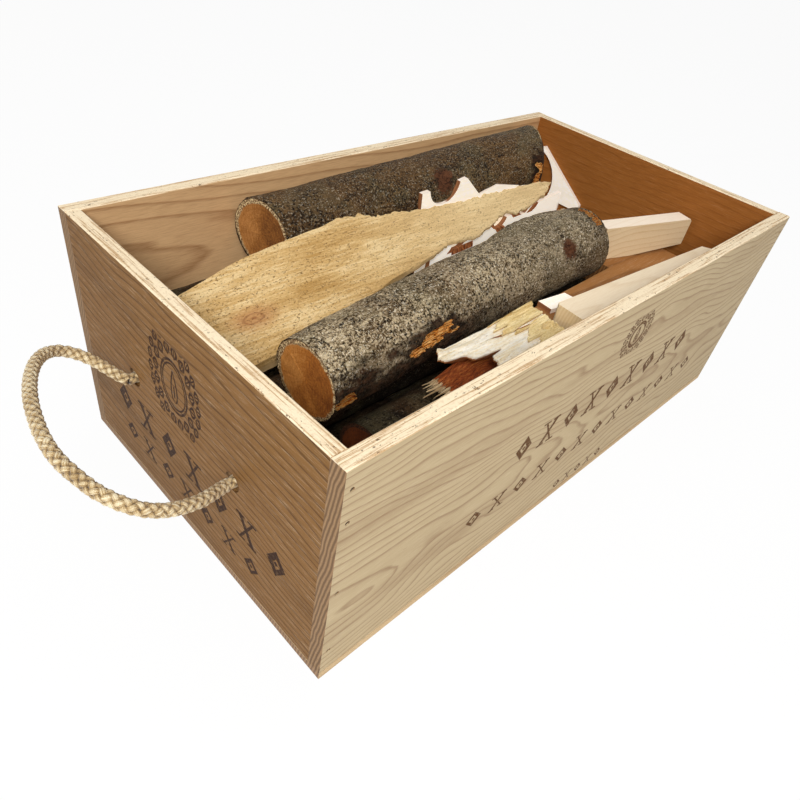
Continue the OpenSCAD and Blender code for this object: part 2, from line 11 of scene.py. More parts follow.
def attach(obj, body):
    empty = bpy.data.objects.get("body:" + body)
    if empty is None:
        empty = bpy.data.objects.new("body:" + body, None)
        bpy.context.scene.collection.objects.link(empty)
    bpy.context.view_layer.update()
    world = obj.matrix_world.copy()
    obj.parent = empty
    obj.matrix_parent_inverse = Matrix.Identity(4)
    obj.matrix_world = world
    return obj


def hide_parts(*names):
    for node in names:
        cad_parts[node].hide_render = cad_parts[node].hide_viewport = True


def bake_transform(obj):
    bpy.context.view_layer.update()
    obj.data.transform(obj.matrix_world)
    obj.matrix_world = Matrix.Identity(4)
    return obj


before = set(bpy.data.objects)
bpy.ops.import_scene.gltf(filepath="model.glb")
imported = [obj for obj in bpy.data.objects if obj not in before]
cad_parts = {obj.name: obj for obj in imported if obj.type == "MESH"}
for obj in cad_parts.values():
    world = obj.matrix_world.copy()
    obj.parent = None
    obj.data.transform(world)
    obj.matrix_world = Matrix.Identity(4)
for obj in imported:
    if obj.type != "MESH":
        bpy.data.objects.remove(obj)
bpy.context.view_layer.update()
# Shapes are worked out in millimetres
MM = 0.001


# -------- camera

# Where the photo was taken from: degrees round, up and rolled, and metres
CAMERA_ANGLES = (-50.21, 40.49, 10.38)
CAMERA_PLACE = (-0.3819, -0.2615, 0.3732)
# The lens, in pixels of the photo
PHOTO_WIDTH = 800
LENS_LENGTH = 651.7
LENS_CENTRE = (389.7, 403.5)
SENSOR_WIDTH = 36


def put(name, data):
    """A new object in the scene."""
    thing = bpy.data.objects.new(name, data)
    bpy.context.scene.collection.objects.link(thing)
    return thing


def upright(right, up, back):
    """The turn that brings X, Y and Z to these directions."""
    return Matrix((right, up, back)).transposed().to_4x4()


def set_camera():
    turn, rise, roll = (math.radians(a) for a in CAMERA_ANGLES)
    back = Vector((math.sin(turn) * math.cos(rise), -math.cos(turn) * math.cos(rise), math.sin(rise)))
    level = Vector((math.cos(turn), math.sin(turn), 0))
    top = back.cross(level)
    right = level * math.cos(roll) + top * math.sin(roll)
    up = top * math.cos(roll) - level * math.sin(roll)
    data = bpy.data.cameras.new("camera")
    data.sensor_fit = "HORIZONTAL"
    data.sensor_width = SENSOR_WIDTH
    data.lens = LENS_LENGTH / PHOTO_WIDTH * SENSOR_WIDTH
    data.shift_x = 0.5 - LENS_CENTRE[0] / PHOTO_WIDTH
    data.shift_y = LENS_CENTRE[1] / PHOTO_WIDTH - 0.5
    data.clip_start = 0.01
    camera = put("camera", data)
    camera.matrix_world = Matrix.Translation(CAMERA_PLACE) @ upright(right, up, back)
    bpy.context.scene.camera = camera


set_camera()


# -------- node arithmetic

class Value:
    """A node's output that adds and multiplies as a number does."""

    def __init__(self, graph, socket):
        self.graph = graph
        self.socket = socket

    def __add__(self, other):
        return self.graph.math("ADD", self, other)

    def __sub__(self, other):
        return self.graph.math("SUBTRACT", self, other)

    def __rsub__(self, other):
        return self.graph.math("SUBTRACT", other, self)

    def __mul__(self, other):
        return self.graph.math("MULTIPLY", self, other)

    def __truediv__(self, other):
        return self.graph.math("DIVIDE", self, other)

    def __abs__(self):
        return self.graph.math("ABSOLUTE", self)

    __radd__ = __add__
    __rmul__ = __mul__


class Graph:
    """Short names for the nodes of a tree."""

    def __init__(self, tree):
        self.tree = tree

    def node(self, kind, *links, **settings):
        n = self.tree.nodes.new("ShaderNode" + kind)
        for key, value in settings.items():
            setattr(n, key, value)
        for key, value in links:
            if isinstance(value, Value):
                self.tree.links.new(value.socket, n.inputs[key])
            else:
                n.inputs[key].default_value = value
        return n

    def value(self, kind, *links, output=0, **settings):
        """A new node's output."""
        return Value(self, self.node(kind, *links, **settings).outputs[output])

    def math(self, operation, a, b=0.0, clamp=False):
        return self.value("Math", (0, a), (1, b), operation=operation, use_clamp=clamp)

    def most(self, first, *others):
        for other in others:
            first = self.math("MAXIMUM", first, other)
        return first

    def distance(self, *sides):
        """The length of the diagonal over two or three sides."""
        total = sides[0] * sides[0]
        for side in sides[1:]:
            total = total + side * side
        return self.math("SQRT", total)

    def place(self):
        """Where the point is in the piece's own frame, in millimetres."""
        return self.scale(self.value("TexCoord", output="Object"), (1000, 1000, 1000))

    def scale(self, vector, by, operation="MULTIPLY"):
        return self.value("VectorMath", (0, vector), (1, by), operation=operation)

    def shift(self, vector, by):
        return self.scale(vector, by, "ADD")

    def split(self, vector):
        n = self.node("SeparateXYZ", (0, vector))
        return [Value(self, o) for o in n.outputs]

    def join(self, x, y, z):
        return self.value("CombineXYZ", (0, x), (1, y), (2, z))

    def facing(self):
        return self.split(self.value("NewGeometry", output="Normal"))

    def attribute(self, name):
        return self.value("Attribute", output="Fac", attribute_name=name)

    def noise(self, vector, scale, detail=3.0, roughness=0.55):
        return self.value("TexNoise", ("Vector", vector), ("Scale", scale), ("Detail", detail),
                          ("Roughness", roughness))

    def drawn(self, vector, along, by, *settings):
        """Noise that is drawn out along one axis."""
        factors = [by if k == along else 1.0 for k in range(3)]
        return self.noise(self.scale(vector, factors), *settings)

    def cells(self, vector, scale):
        return self.value("TexVoronoi", ("Vector", vector), ("Scale", scale), output="Distance")

    def step(self, value, low, high):
        """Smooth from 0 at low to 1 at high; high may be the lower number."""
        if low > high:
            return 1 - self.step(value, high, low)
        return self.value("MapRange", (0, value), (1, low), (2, high), (3, 0.0), (4, 1.0),
                          interpolation_type="SMOOTHSTEP")

    def mix(self, factor, a, b):
        a, b = (rgb(colour) if isinstance(colour, str) else colour for colour in (a, b))
        return self.value("Mix", ("Factor", factor), (6, a), (7, b), output=2, data_type="RGBA")

    def ramp(self, factor, *stops):
        n = self.node("ValToRGB", (0, factor))
        e = n.color_ramp.elements
        while len(e) < len(stops):
            e.new(0.5)
        for k, (at, colour) in enumerate(stops):
            e[k].position = at
            e[k].color = rgb(colour)
        return Value(self, n.outputs[0])

    def whiten(self, lit, white, output, share=1.0):
        """Lets the camera and glossy surfaces see that share of white in place of lit."""
        paths = self.node("LightPath")
        seen = self.most(*[Value(self, paths.outputs[ray]) for ray in ("Is Camera Ray", "Is Glossy Ray")])
        shaders = [(k + 1, Value(self, n.outputs[0])) for k, n in enumerate((lit, white))]
        mixer = self.node("MixShader", (0, seen * share), *shaders)
        self.tree.links.new(mixer.outputs[0], self.tree.nodes[output].inputs[0])


class Surface(Graph):
    """The graph of a material."""

    def __init__(self, name, roughness, gloss=0.25):
        self.material = bpy.data.materials.new(name)
        self.material.use_nodes = True
        super().__init__(self.material.node_tree)
        self.shader = self.tree.nodes["Principled BSDF"]
        self.shader.inputs["Roughness"].default_value = roughness
        self.shader.inputs["Specular IOR Level"].default_value = gloss

    def finish(self, colour, height, roughness=None, depth=0.4):
        """Joins the colour and a relief of that depth, in millimetres."""
        self.tree.links.new(colour.socket, self.shader.inputs["Base Color"])
        if roughness is not None:
            self.tree.links.new(roughness.socket, self.shader.inputs["Roughness"])
        n = self.node("Bump", ("Height", height), ("Strength", 1.0), ("Distance", depth * MM))
        self.tree.links.new(n.outputs[0], self.shader.inputs["Normal"])
        return self.material


def rgb(text):
    """The linear colour of a screen colour such as #c0ffee."""
    out = []
    for k in (1, 3, 5):
        c = int(text[k:k + 2], 16) / 255
        out.append(c / 12.92 if c <= 0.04045 else ((c + 0.055) / 1.055) ** 2.4)
    return (*out, 1.0)


# -------- mesh helpers

def make(name, points, faces, material, body=None, smooth=True, at=None, notes=None):
    """A mesh piece in its place. notes hold a number for each point, by name."""
    mesh = bpy.data.meshes.new(name)
    mesh.from_pydata([tuple(p) for p in points], [], faces)
    mesh.polygons.foreach_set("use_smooth", [smooth] * len(faces))
    mesh.update()
    for label, numbers in (notes or {}).items():
        layer = mesh.attributes.new(label, "FLOAT", "POINT")
        layer.data.foreach_set("value", numbers)
    piece = put(name, mesh)
    for m in material if isinstance(material, list) else [material]:
        mesh.materials.append(m)
    if at is not None:
        piece.matrix_world = at
    if body:
        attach(piece, body)
    return piece


def join_rings(first, second, flip=False):
    """The quads between two closed rings of point numbers."""
    quads = list(zip(first, first[1:] + first[:1], second[1:] + second[:1], second))
    return [q[::-1] for q in quads] if flip else quads


def tube(first, end, around):
    """A tube's rings of point numbers and the quads between them."""
    rings = [list(range(k, k + around)) for k in range(first, end, around)]
    return rings, [q for a, b in zip(rings, rings[1:]) for q in join_rings(a, b)]


def clamp(value):
    return max(0.0, min(1.0, value))


def rag(*seed):
    """Smooth noise between about -1 and 1."""
    return noise.noise(Vector(seed))


def smooth_line(points, step):
    """Points every step along a smooth line through the given ones."""
    p = [Vector(q) for q in points]
    p = [p[0] * 2 - p[1]] + p + [p[-1] * 2 - p[-2]]
    parts = 16
    fine = []
    for a, b, c, d in zip(p, p[1:], p[2:], p[3:]):
        for i in range(parts):
            t = i / parts
            fine.append(0.5 * (2 * b + (c - a) * t + (2 * a - 5 * b + 4 * c - d) * t * t
                               + (3 * b - a - 3 * c + d) * t ** 3))
    fine.append(p[-2])
    run = [0.0]
    for a, b in zip(fine, fine[1:]):
        run.append(run[-1] + (b - a).length)
    count = max(2, round(run[-1] / step))
    at = np.linspace(0, run[-1], count + 1)
    columns = [np.interp(at, run, [f[k] for f in fine]) for k in range(3)]
    return [Vector(q) for q in zip(*columns)]


# -------- ropes

# The rope's middle line: how far out from the hinge line, and Y
ROPE_ROUTE = (
    (0, 60), (4, 64), (8, 71), (13, 80), (21, 87), (31, 89), (42, 84), (53, 72), (64, 53),
    (73, 31), (79, 9), (82, -9), (82, -24), (79, -37), (75, -48), (68, -57), (59, -63),
    (47, -65), (33, -63), (20, -59), (9, -54), (0, -50))
# The rope's holes and their Y
ROPE_HOLES = (("back", 60), ("front", -50))
ROPE_WIDTH = 8.0
# X and height of the hinge line, and how steeply the rope stands out from it
HINGE_X = 254.3
HINGE_Z = 94
ROPE_RISE = math.radians(30)

STRANDS = 8
# Shares of the rope's width: the strands' circle, a strand's half thickness, and one turn
STRAND_CIRCLE = 0.265
STRAND_THICKNESS = 0.165
STRAND_TURN = 2.9

# A knot: a coil that starts behind the board, and the tail's two last points
KNOT_WIDTH = ROPE_WIDTH * 0.98
HOLE_RUN = (254, 250, 246, 242)
COIL_X = 237
COIL_RADIUS = 6.6
COIL_STEPS = 19
COIL_ANGLE = 32
COIL_ADVANCE = 0.62
COIL_WAVE = 1.6
TAIL = ((223, 2, 0), (218.5, 1, -1))


def rope_material():
    g = Surface("rope_fibre", 0.85)
    p = g.place()
    lay = g.attribute("lay")
    fibre = g.noise(g.join(lay * 0.12, g.attribute("turn") * 9, g.attribute("strand") * 5), 1.0, 3)
    patch = g.noise(p, 0.06, 3)
    fluff = g.noise(p, 2.4, 3, 0.7)
    # Painted shade and highlight: the deep note paints the strands dark where they lie deep in the plait's
    # gaps and pale on their outer crowns, over the rope's own beige.
    tone = g.attribute("deep") + (fibre - 0.5) * 0.5 + (fluff - 0.5) * 0.35 + (patch - 0.5) * 0.2
    colour = g.ramp(tone, (0.6, "#2e2115"), (0.74, "#6b5232"), (0.85, "#a4875b"),
                    (0.94, "#c9b186"), (1.0, "#e4d6b4"))
    g.shader.inputs["Sheen Weight"].default_value = 0.25
    return g.finish(colour, fibre + fluff * 0.7, depth=0.35)


def headings(line):
    """The direction of a line at each of its points."""
    return [(b - a).normalized() for a, b in zip(line[:1] + line, line[1:] + line[-1:])]


def braid(name, route, width, material, sides=8, step=0.7):
    """A round plait along a smooth line: half of the strands wind each way, over and under."""
    line = smooth_line(route, step)
    runs = headings(line)
    normal = runs[0].orthogonal().normalized()
    frames = []
    for run in runs:
        normal = (normal - run * normal.dot(run)).normalized()
        frames.append((normal.copy(), run.cross(normal)))
    thick = width * STRAND_THICKNESS
    points, faces = [], []
    notes = {"lay": [], "turn": [], "deep": [], "strand": []}
    for k in range(STRANDS):
        hand = 1 if k < STRANDS / 2 else -1
        path, ups = [], []
        for i, (c, (n, b)) in enumerate(zip(line, frames)):
            turn = 2 * math.pi / (width * STRAND_TURN) * step * i
            angle = math.pi / 2 * (k % 4) + hand * turn
            swell = 1 + 0.05 * rag(i * step * 0.07, k * 3.1, 0)
            radius = (width * STRAND_CIRCLE + hand * thick * 0.42 * math.cos(4 * turn)) * swell
            out = n * math.cos(angle) + b * math.sin(angle)
            path.append(c + out * radius)
            ups.append(out)
        base = len(points)
        for i, run in enumerate(headings(path)):
            side = run.cross(ups[i]).normalized()
            up = side.cross(run)
            for j in range(sides):
                a = 2 * math.pi * j / sides
                fray = 1 + 0.1 * rag(i * 0.45, a * 1.7, k * 7.7)
                q = path[i] + (side * math.cos(a) * thick * 1.35 + up * math.sin(a) * thick) * fray
                points.append(q * MM)
                notes["lay"].append(i * step)
                notes["turn"].append(math.sin(a))
                notes["strand"].append(k)
                notes["deep"].append(min(1.0, (q - line[i]).length / (width * 0.5)))
        rings, quads = tube(base, len(points), sides)
        faces += [*quads, tuple(reversed(rings[0])), tuple(rings[-1])]
    return make(name, points, faces, material, notes=notes), [p * MM for p in line]


def knot_route(side, y):
    route = [(side * x, y, HINGE_Z) for x in HOLE_RUN]
    for t in range(COIL_STEPS):
        a = math.radians(-90 + COIL_ANGLE * t)
        x = COIL_X - t * COIL_ADVANCE - COIL_WAVE * math.cos(2 * a)
        route.append((side * x, y + COIL_RADIUS * math.sin(a + 0.3),
                      HINGE_Z + COIL_RADIUS * math.cos(a + 0.3)))
    return route + [(side * x, y + dy, HINGE_Z + dz) for x, dy, dz in TAIL]


def rope_handle(side, material):
    word = "left" if side < 0 else "right"
    route = [(side * (HINGE_X + out * math.cos(ROPE_RISE)), y, HINGE_Z + out * math.sin(ROPE_RISE))
             for out, y in ROPE_ROUTE]
    loop, line = braid(word + "_rope", route, ROPE_WIDTH, material)
    length = sum((b - a).length for a, b in zip(line, line[1:]))
    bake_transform(loop)
    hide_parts(word + "_rope_handle")
    for tag, y in ROPE_HOLES:
        knot, _ = braid(f"{word}_knot_{tag}", knot_route(side, y), KNOT_WIDTH, material, 6, 1.0)
        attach(knot, "box")
    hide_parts(word + "_rope_knots")


ROPE = rope_material()
rope_handle(-1, ROPE)
rope_handle(1, ROPE)


# -------- boards

# Height of the boards' upper edge, where the saw has left it rough, and its two colours
BOARD_TOP = 178.0
RIM = ("#efddbd", "#b8946a")
END_GRAIN = ("#a58562", "#4a3424")
FRONT_INK = ("#3f2409", "#6e471c")
END_INK = ("#1e0d03", "#40240e")
# How far out the boards' outer faces are
FRONT_FACE = 136
END_FACE = 250
# Rows of burnt marks: height, start, count, pitch, a mark's height, and the line's width
FRONT_ROWS = ((100, -108, 9, 26.5, 21, 2.6), (56, -141, 13, 24.6, 14, 1.9), (13, -21, 5, 15, 9, 1.2))
END_ROWS = ((64, -106, 7, 28.5, 22, 2.8), (35, -80, 7, 24, 15, 2.0))
# The wreaths: place along the row, height, half width, half height, and the line's width
FRONT_WREATH = (12, 146, 9, 10, 1.3)
END_WREATH = (8, 122, 14, 19, 1.4)


def pine(name, along, heart, spacing, light, dark, strength, taper, seed, wave=0.0,
         inside=None, end=END_GRAIN, rim=None, burn=None, ink=FRONT_INK):
    """Sawn softwood, its grain along an axis and its tree's middle at heart, across that axis.
    inside is a face's axis and side, two colours and how much its rings show; end and rim colour
    the sawn ends and the upper edge, and burn draws marks."""
    g = Surface(name, 0.6, 0.1)
    p = g.place()
    axes = g.split(p)
    across = [axes[k] for k in range(3) if k != along]
    moved = g.shift(p, (31.7 * seed, 17.3 * seed, 53.9 * seed))
    warp = (g.drawn(moved, along, 0.12, 0.018, 2) - 0.5) * 22
    warp = warp + (g.drawn(moved, along, 0.12, 0.11, 2) - 0.5) * 2.4
    if wave:
        warp = warp + (g.drawn(moved, along, 0.45, 0.022, 1) - 0.5) * wave
    radius = g.distance(across[0] - heart[0], across[1] - heart[1]) + axes[along] * taper + warp
    rings = radius / spacing
    late = g.ramp(g.math("FRACT", rings), (0.0, "#000000"), (0.3, "#101010"), (0.7, "#6f6f6f"),
                  (0.9, "#ffffff"), (1.0, "#000000"))
    uneven = g.noise(g.join(g.math("FLOOR", rings) * 0.73, 0.0, 0.0), 1.0, 1)
    fibre = g.drawn(moved, along, 0.045, 1.7, 4, 0.65)
    blotch = g.drawn(moved, along, 0.12, 0.035, 3)
    dash = g.step(g.drawn(moved, along, 0.1, 0.9, 2), 0.68, 0.74)
    colour = g.mix(g.math("MULTIPLY", late * (uneven * 0.9 + 0.4), strength, clamp=True), light, dark)
    colour = g.mix(g.step(blotch, 0.45, 0.75) * 0.35, colour, dark)
    colour = g.mix(g.step(fibre, 0.5, 0.8) * 0.3, colour, dark)
    colour = g.mix(g.step(fibre, 0.48, 0.2) * 0.3, colour, "#f3e3c4")
    colour = g.mix(dash * 0.25, colour, "#6b4a2c")
    n = g.facing()
    if inside:
        axis, sign, pale, deep, lines = inside
        tint = g.mix(late * lines + g.step(fibre, 0.35, 0.8) * 0.45, pale, deep)
        colour = g.mix(g.step(n[axis] * sign, 0.5, 0.8), colour, g.mix(0.78, colour, tint))
    slant = across[0] + across[1] * 0.16 + (g.noise(p, 0.04, 2) - 0.5) * 4
    line = g.step(abs(g.math("FRACT", slant / 2.5) - 0.5), 0.1, 0.4)
    shown = g.math("MULTIPLY", line * 0.55, g.noise(p, 0.7, 3, 0.7) + 0.45, clamp=True)
    colour = g.mix(g.step(abs(n[along]), 0.6, 0.8), colour, g.mix(shown + 0.3, end[1], end[0]))
    if rim:
        top = g.step(axes[2], BOARD_TOP - 0.9, BOARD_TOP - 0.5)
        saw = g.drawn(moved, along, 0.03, 0.6, 4, 0.7)
        streak = g.step(saw, 0.5, 0.6) * 0.8 + g.step(g.noise(moved, 0.5, 4, 0.8), 0.5, 0.65) * 0.3
        sawn = g.mix(g.math("MINIMUM", streak, 1.0), rim[0], rim[1])
        speck = g.step(g.drawn(moved, along, 0.5, 0.45, 3, 0.8), 0.63, 0.66)
        colour = g.mix(top, colour, g.mix(speck * 0.8, sawn, "#4e3a24"))
    height = fibre + late * 0.35
    if burn:
        mark = burn(g, p) * (g.step(g.noise(moved, 0.35, 4, 0.7), 0.3, 0.5) * 0.5 + 0.5)
        colour = g.mix(mark, colour, g.mix(fibre, ink[0], ink[1]))
        height = height - mark * 1.6
    return g.finish(colour, height, depth=0.22)


def stroke(g, value, width, soft=0.25):
    """A line where value is 0, that many millimetres wide."""
    return g.step(abs(value), width / 2 + soft, width / 2 - soft)


def band(g, across, up, start, count, pitch, height, width):
    """A row of bold marks: lozenges with a hollow heart, and between them pairs of crossed leaves."""
    t = (across - start) / pitch
    odd = g.math("FLOORED_MODULO", g.math("FLOOR", t), 2.0)
    f = (g.math("FRACT", t) - 0.5) * pitch
    half = height / 2
    lean = pitch * 0.46 / height
    diamond = (abs(f) / (pitch * 0.3) + abs(up) / half - 1) * (pitch * 0.22)
    heavy = width * (1.15 + 0.35 * g.step(f, -1.0, 1.0))
    lozenge = g.most(g.step(diamond, 0.4, -0.1) * g.step(diamond + heavy, -0.2, 0.3),
                     g.step(abs(f) + abs(up), width * 0.9, width * 0.6))
    leaf = stroke(g, f - up * lean, width * 1.5)
    thin = stroke(g, f + up * lean, width * 0.8)
    foot = g.step(abs(abs(f) - pitch * 0.2), width * 1.7, width * 1.4)
    serif = stroke(g, abs(up) - half + width * 0.3, width * 0.6) * foot
    shown = g.step(t, -0.01, 0.01) * g.step(t, count + 0.01, count - 0.01)
    return ((lozenge * (1 - odd) + g.most(leaf, thin, serif) * odd) * shown
            * g.step(abs(up), half + 0.6, half + 0.1))


def wreath(g, across, up, wide, tall, width):
    """An oval frame with a flame in it and two rings of leaves round it."""
    x, y = across / wide, up / tall
    r = g.distance(x, y)
    angle = g.math("ARCTAN2", y, x) / (2 * math.pi)
    oval = g.most(stroke(g, (r - 1) * wide, width), stroke(g, (r - 0.86) * wide, width * 0.7))
    body = (abs(x) - (0.62 - y) * g.math("SQRT", g.most(y + 0.62, 0.0)) * 0.42) * wide
    flame = stroke(g, body, width) * g.step(abs(y), 0.66, 0.6)
    wick = stroke(g, x * wide, width) * g.step(abs(y + 0.2), 0.26, 0.2)
    rings = []
    for radius, count, size, shift in ((1.42, 16, 0.24, 0.0), (1.85, 22, 0.2, 0.5)):
        turn = g.math("FRACT", angle * count + shift) - 0.5
        out = (r - radius) / size
        shape = abs(turn) * 2.4 + out * out - 0.75
        vein = stroke(g, turn * 9, width * 0.7) * g.step(abs(out), 0.8, 0.7)
        rings.append(g.most(stroke(g, shape * 2.4, width), vein))
    leaves = g.most(*rings) * g.step(abs(x), 2.3, 2.2) * g.step(abs(y), 1.62, 1.5)
    return g.most(oval, flame, leaves, wick)


def burnt_marks(axis, side, face, rows, crest):
    """Rows of marks and a wreath along an axis of a board's outer face, which looks to a side."""
    def burn(g, p):
        axes = g.split(p)
        marks = [band(g, axes[axis], axes[2] - z, *row) for z, *row in rows]
        at, z, *sizes = crest
        marks.append(wreath(g, axes[axis] - at, axes[2] - z, *sizes))
        return g.most(*marks) * g.step(axes[1 - axis] * side, face - 0.5, face - 0.1)
    return burn


def dress(node, material, bevel=0.5):
    """Gives a CAD node its material, and eases its edges a little."""
    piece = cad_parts[node]
    piece.data.materials.clear()
    piece.data.materials.append(material)
    for polygon in piece.data.polygons:
        polygon.material_index = 0
    if bevel:
        m = piece.modifiers.new("eased", "BEVEL")
        m.width = bevel * MM
        m.segments = 2
        m.limit_method = "ANGLE"
        m.angle_limit = math.radians(40)


def steel():
    g = Surface("nail_steel", 0.55)
    rust = g.noise(g.place(), 0.9, 3)
    g.shader.inputs["Metallic"].default_value = 0.6
    return g.finish(g.ramp(rust, (0.3, "#4a3b30"), (0.6, "#6b5a48"), (0.8, "#7d5a3e")), rust, depth=0.1)


dress("front_board", pine(
    "pine_front", 0, (-96, 72), 5.2, "#bba784", "#8a6c4e", strength=0.82, taper=0.05, seed=1, wave=26,
    inside=(1, 1, "#b0784a", "#7a4d2a", 0.3), rim=RIM,
    burn=burnt_marks(0, -1, FRONT_FACE, FRONT_ROWS, FRONT_WREATH)))
dress("back_board", pine(
    "pine_back", 0, (210, 120), 6.5, "#cdb083", "#a27d53", strength=0.7, taper=0.03, seed=2,
    inside=(1, -1, "#d8ac7c", "#95673f", 0.6), rim=RIM))
# Painted shade: both end boards' wood is painted darker and browner than the front board's, for the shade on
# the box's ends.
dress("left_end_board", pine(
    "pine_left", 1, (-330, 230), 4.6, "#845f35", "#452a11", strength=0.95, taper=0.04, seed=3, wave=14,
    inside=(0, 1, "#b0804e", "#7d5530", 0.3), rim=RIM, ink=END_INK,
    burn=burnt_marks(1, -1, END_FACE, END_ROWS, END_WREATH)))
# Painted shade and reflected light: the right end board's inner face is tinted a dark orange-brown.
dress("right_end_board", pine(
    "pine_right", 1, (330, 60), 5.0, "#7d5931", "#472c14", strength=0.85, taper=0.04, seed=4, wave=14,
    inside=(0, -1, "#a4642a", "#6b3b15", 0.14), rim=RIM, ink=END_INK,
    burn=burnt_marks(1, 1, END_FACE, END_ROWS, END_WREATH)))
dress("base_panel", pine(
    "pine_base", 0, (0, -60), 6.0, "#cbb088", "#9d7c55", strength=0.6, taper=0.02, seed=5,
    end=("#a98a6b", "#6b5240")), 0.3)
STEEL = steel()
for nails in ("corner_nails", "base_nails"):
    dress(nails, STEEL, 0)


# -------- logs

# Marks on a log: at is millimetres from its left end, angle degrees from its top towards the
# front, a tear's long and wide are half sizes, and char is how burnt it looks
Tear = namedtuple("Tear", "at angle long wide depth char")
Stub = namedtuple("Stub", "at angle size tall")
Flake = namedtuple("Flake", "start stop angle wide tall")
Shadow = namedtuple("Shadow", "angle wide fade")

# Shares of the radius at which a log's end has its rings of points, and the one in the bark's gap
END_RINGS = (0.955, 0.93, 0.9, 0.86, 0.8, 0.7, 0.58, 0.45, 0.32, 0.2, 0.1)
BARK_GAP = 0.93
# How far the bark's middle lies under the CAD log's surface, and how far its ends are rounded
BARK_SINK = 0.9
END_ROUND = 0.8
# The front log of the second layer shows its end further left than its solid
FRONT_LOG_REACH = 12


def bark_material(name, dark, middle, light, seed, flecks_and_glints=1.0):
    """Bark: mottled, freckled with black pits, pale flecks and painted glints, with painted shade underneath,
    torn in places.
    flecks_and_glints is how strong its pale flecks, its painted glints, the darkening of its far end and its
    gleam are."""
    g = Surface(name, 0.62, 0.08)
    p = g.shift(g.place(), (0, 0, seed * 400))
    q = g.scale(p, (1, 1, 0.5))
    broad = g.noise(q, 0.04, 4, 0.6)
    scales = g.noise(q, 0.25, 5, 0.75)
    grit = g.noise(p, 0.7, 4, 0.8)
    round_hairs = g.noise(g.scale(p, (0.4, 0.4, 1.9)), 0.7, 3, 0.7)
    tone = broad * 0.16 + scales * 0.35 + grit * 0.56 + round_hairs * 0.23 - 0.15
    colour = g.ramp(tone, (0.44, dark), (0.49, middle), (0.535, light), (0.62, light))
    colour = g.mix(g.step(g.noise(p, 0.025, 2), 0.48, 0.58) * 0.35, colour, "#6a6146")
    colour = g.mix(g.step(g.noise(p, 0.02, 2), 0.49, 0.6) * 0.45, colour, "#5a422a")
    far = g.step(g.split(p)[2] + (broad - 0.5) * 120, 120, 250) * (0.5 * flecks_and_glints)
    colour = g.mix(far, colour, "#4b3f2c")
    hairs = g.noise(g.scale(p, (1.1, 1.1, 0.25)), 1.0, 3, 0.8)
    colour = g.mix(g.step(hairs, 0.57, 0.63) * (0.6 * flecks_and_glints), colour, "#d8c6a0")
    crowd = g.noise(p, 0.035, 3)
    holes = g.drawn(p, 2, 0.8, 0.6, 4, 0.75)
    pits = g.step(holes + (crowd - 0.5) * 0.3, 0.558, 0.59)
    colour = g.mix(pits * 0.85, colour, "#150e09")
    dots = g.step(g.cells(p, 0.27) + (grit - 0.5) * 0.3, 0.27, 0.2) * g.step(crowd, 0.42, 0.5)
    colour = g.mix(dots * 0.9, colour, "#1a110a")
    # Painted highlight: sparse pale glints on the bark.
    glint = g.step(g.noise(g.shift(p, (50, 20, 90)), 0.7, 2, 0.6), 0.61, 0.635)
    colour = g.mix(glint * (0.75 * flecks_and_glints), colour, "#efe4cc")
    gloom = g.mix(g.step(scales, 0.45, 0.6), "#140a05", "#3e2414")
    colour = g.mix(g.attribute("shade") * 0.93, colour, gloom)
    torn = g.attribute("torn")
    strips = g.noise(g.scale(p, (1.5, 1.5, 0.13)), 1.0, 4, 0.75)
    fibres = g.ramp(strips, (0.42, "#3a1408"), (0.46, "#bb561a"), (0.51, "#f79a2e"), (0.57, "#ffd488"))
    charred = g.step(g.attribute("burnt") + (strips - 0.5), 0.35, 0.7)
    fibres = g.mix(charred * 0.85, fibres, "#2b150d")
    colour = g.mix(g.step(torn + (strips - 0.5) * 0.5, 0.4, 0.6), colour, fibres)
    knob = g.mix(g.step(grit * 0.5 + scales * 0.5, 0.42, 0.56), "#22110a", "#65402a")
    scar = g.step(g.attribute("scar") + (grit - 0.5) * 1.6 + (scales - 0.5), 0.35, 0.65)
    colour = g.mix(scar, colour, knob)
    height = scales * 0.8 + grit * 0.7 - pits * 0.5 + hairs * 0.4 + strips * torn
    return g.finish(colour, height, roughness=0.7 - g.step(grit, 0.5, 0.6) * (0.3 * flecks_and_glints), depth=1.3)


def cut_material(name, pale, middle, dark, ring_dark="#5a3315", ring_pale="#e8cf9c"):
    """A sawn log end: rough orange wood, faint rings, and a speckled cream ring under the bark."""
    g = Surface(name, 0.8)
    p = g.place()
    x, y, _ = g.split(p)
    flat = g.scale(p, (1, 1, 0))
    radius = g.distance(x + 3, y - 2) + (g.noise(flat, 0.06, 3) - 0.5) * 6
    ring = g.math("FRACT", radius / 3.1)
    saw = g.noise(g.scale(p, (0.16, 1.2, 0)), 1.0, 4, 0.7)
    grain = g.noise(flat, 0.8, 4, 0.75)
    tone = ring * 0.06 + saw * 0.35 + grain * 0.5 + (g.noise(flat, 0.05, 2) - 0.5) * 0.5 - y * 0.006
    colour = g.ramp(tone, (0.25, dark), (0.46, middle), (0.7, pale))
    share = g.attribute("rad")
    under_bark = share + (g.noise(flat, 0.12, 2) - 0.5) * 0.12 - y * 0.0016
    speckle = g.step(g.noise(flat, 0.75, 4, 0.85), 0.46, 0.56)
    colour = g.mix(g.step(under_bark, 0.82, 0.87), colour, g.mix(speckle, ring_dark, ring_pale))
    colour = g.mix(g.step(share, 0.945, 0.955), colour, g.mix(grain, "#1c130c", "#4b3521"))
    return g.finish(colour, saw * 0.6 + grain, depth=0.6)


BARK = bark_material("grey_bark", "#3b2b1a", "#917c5c", "#cdba98", 0)
BROWN_BARK = bark_material("brown_bark", "#20130a", "#46301a", "#745633", 1, 0.35)
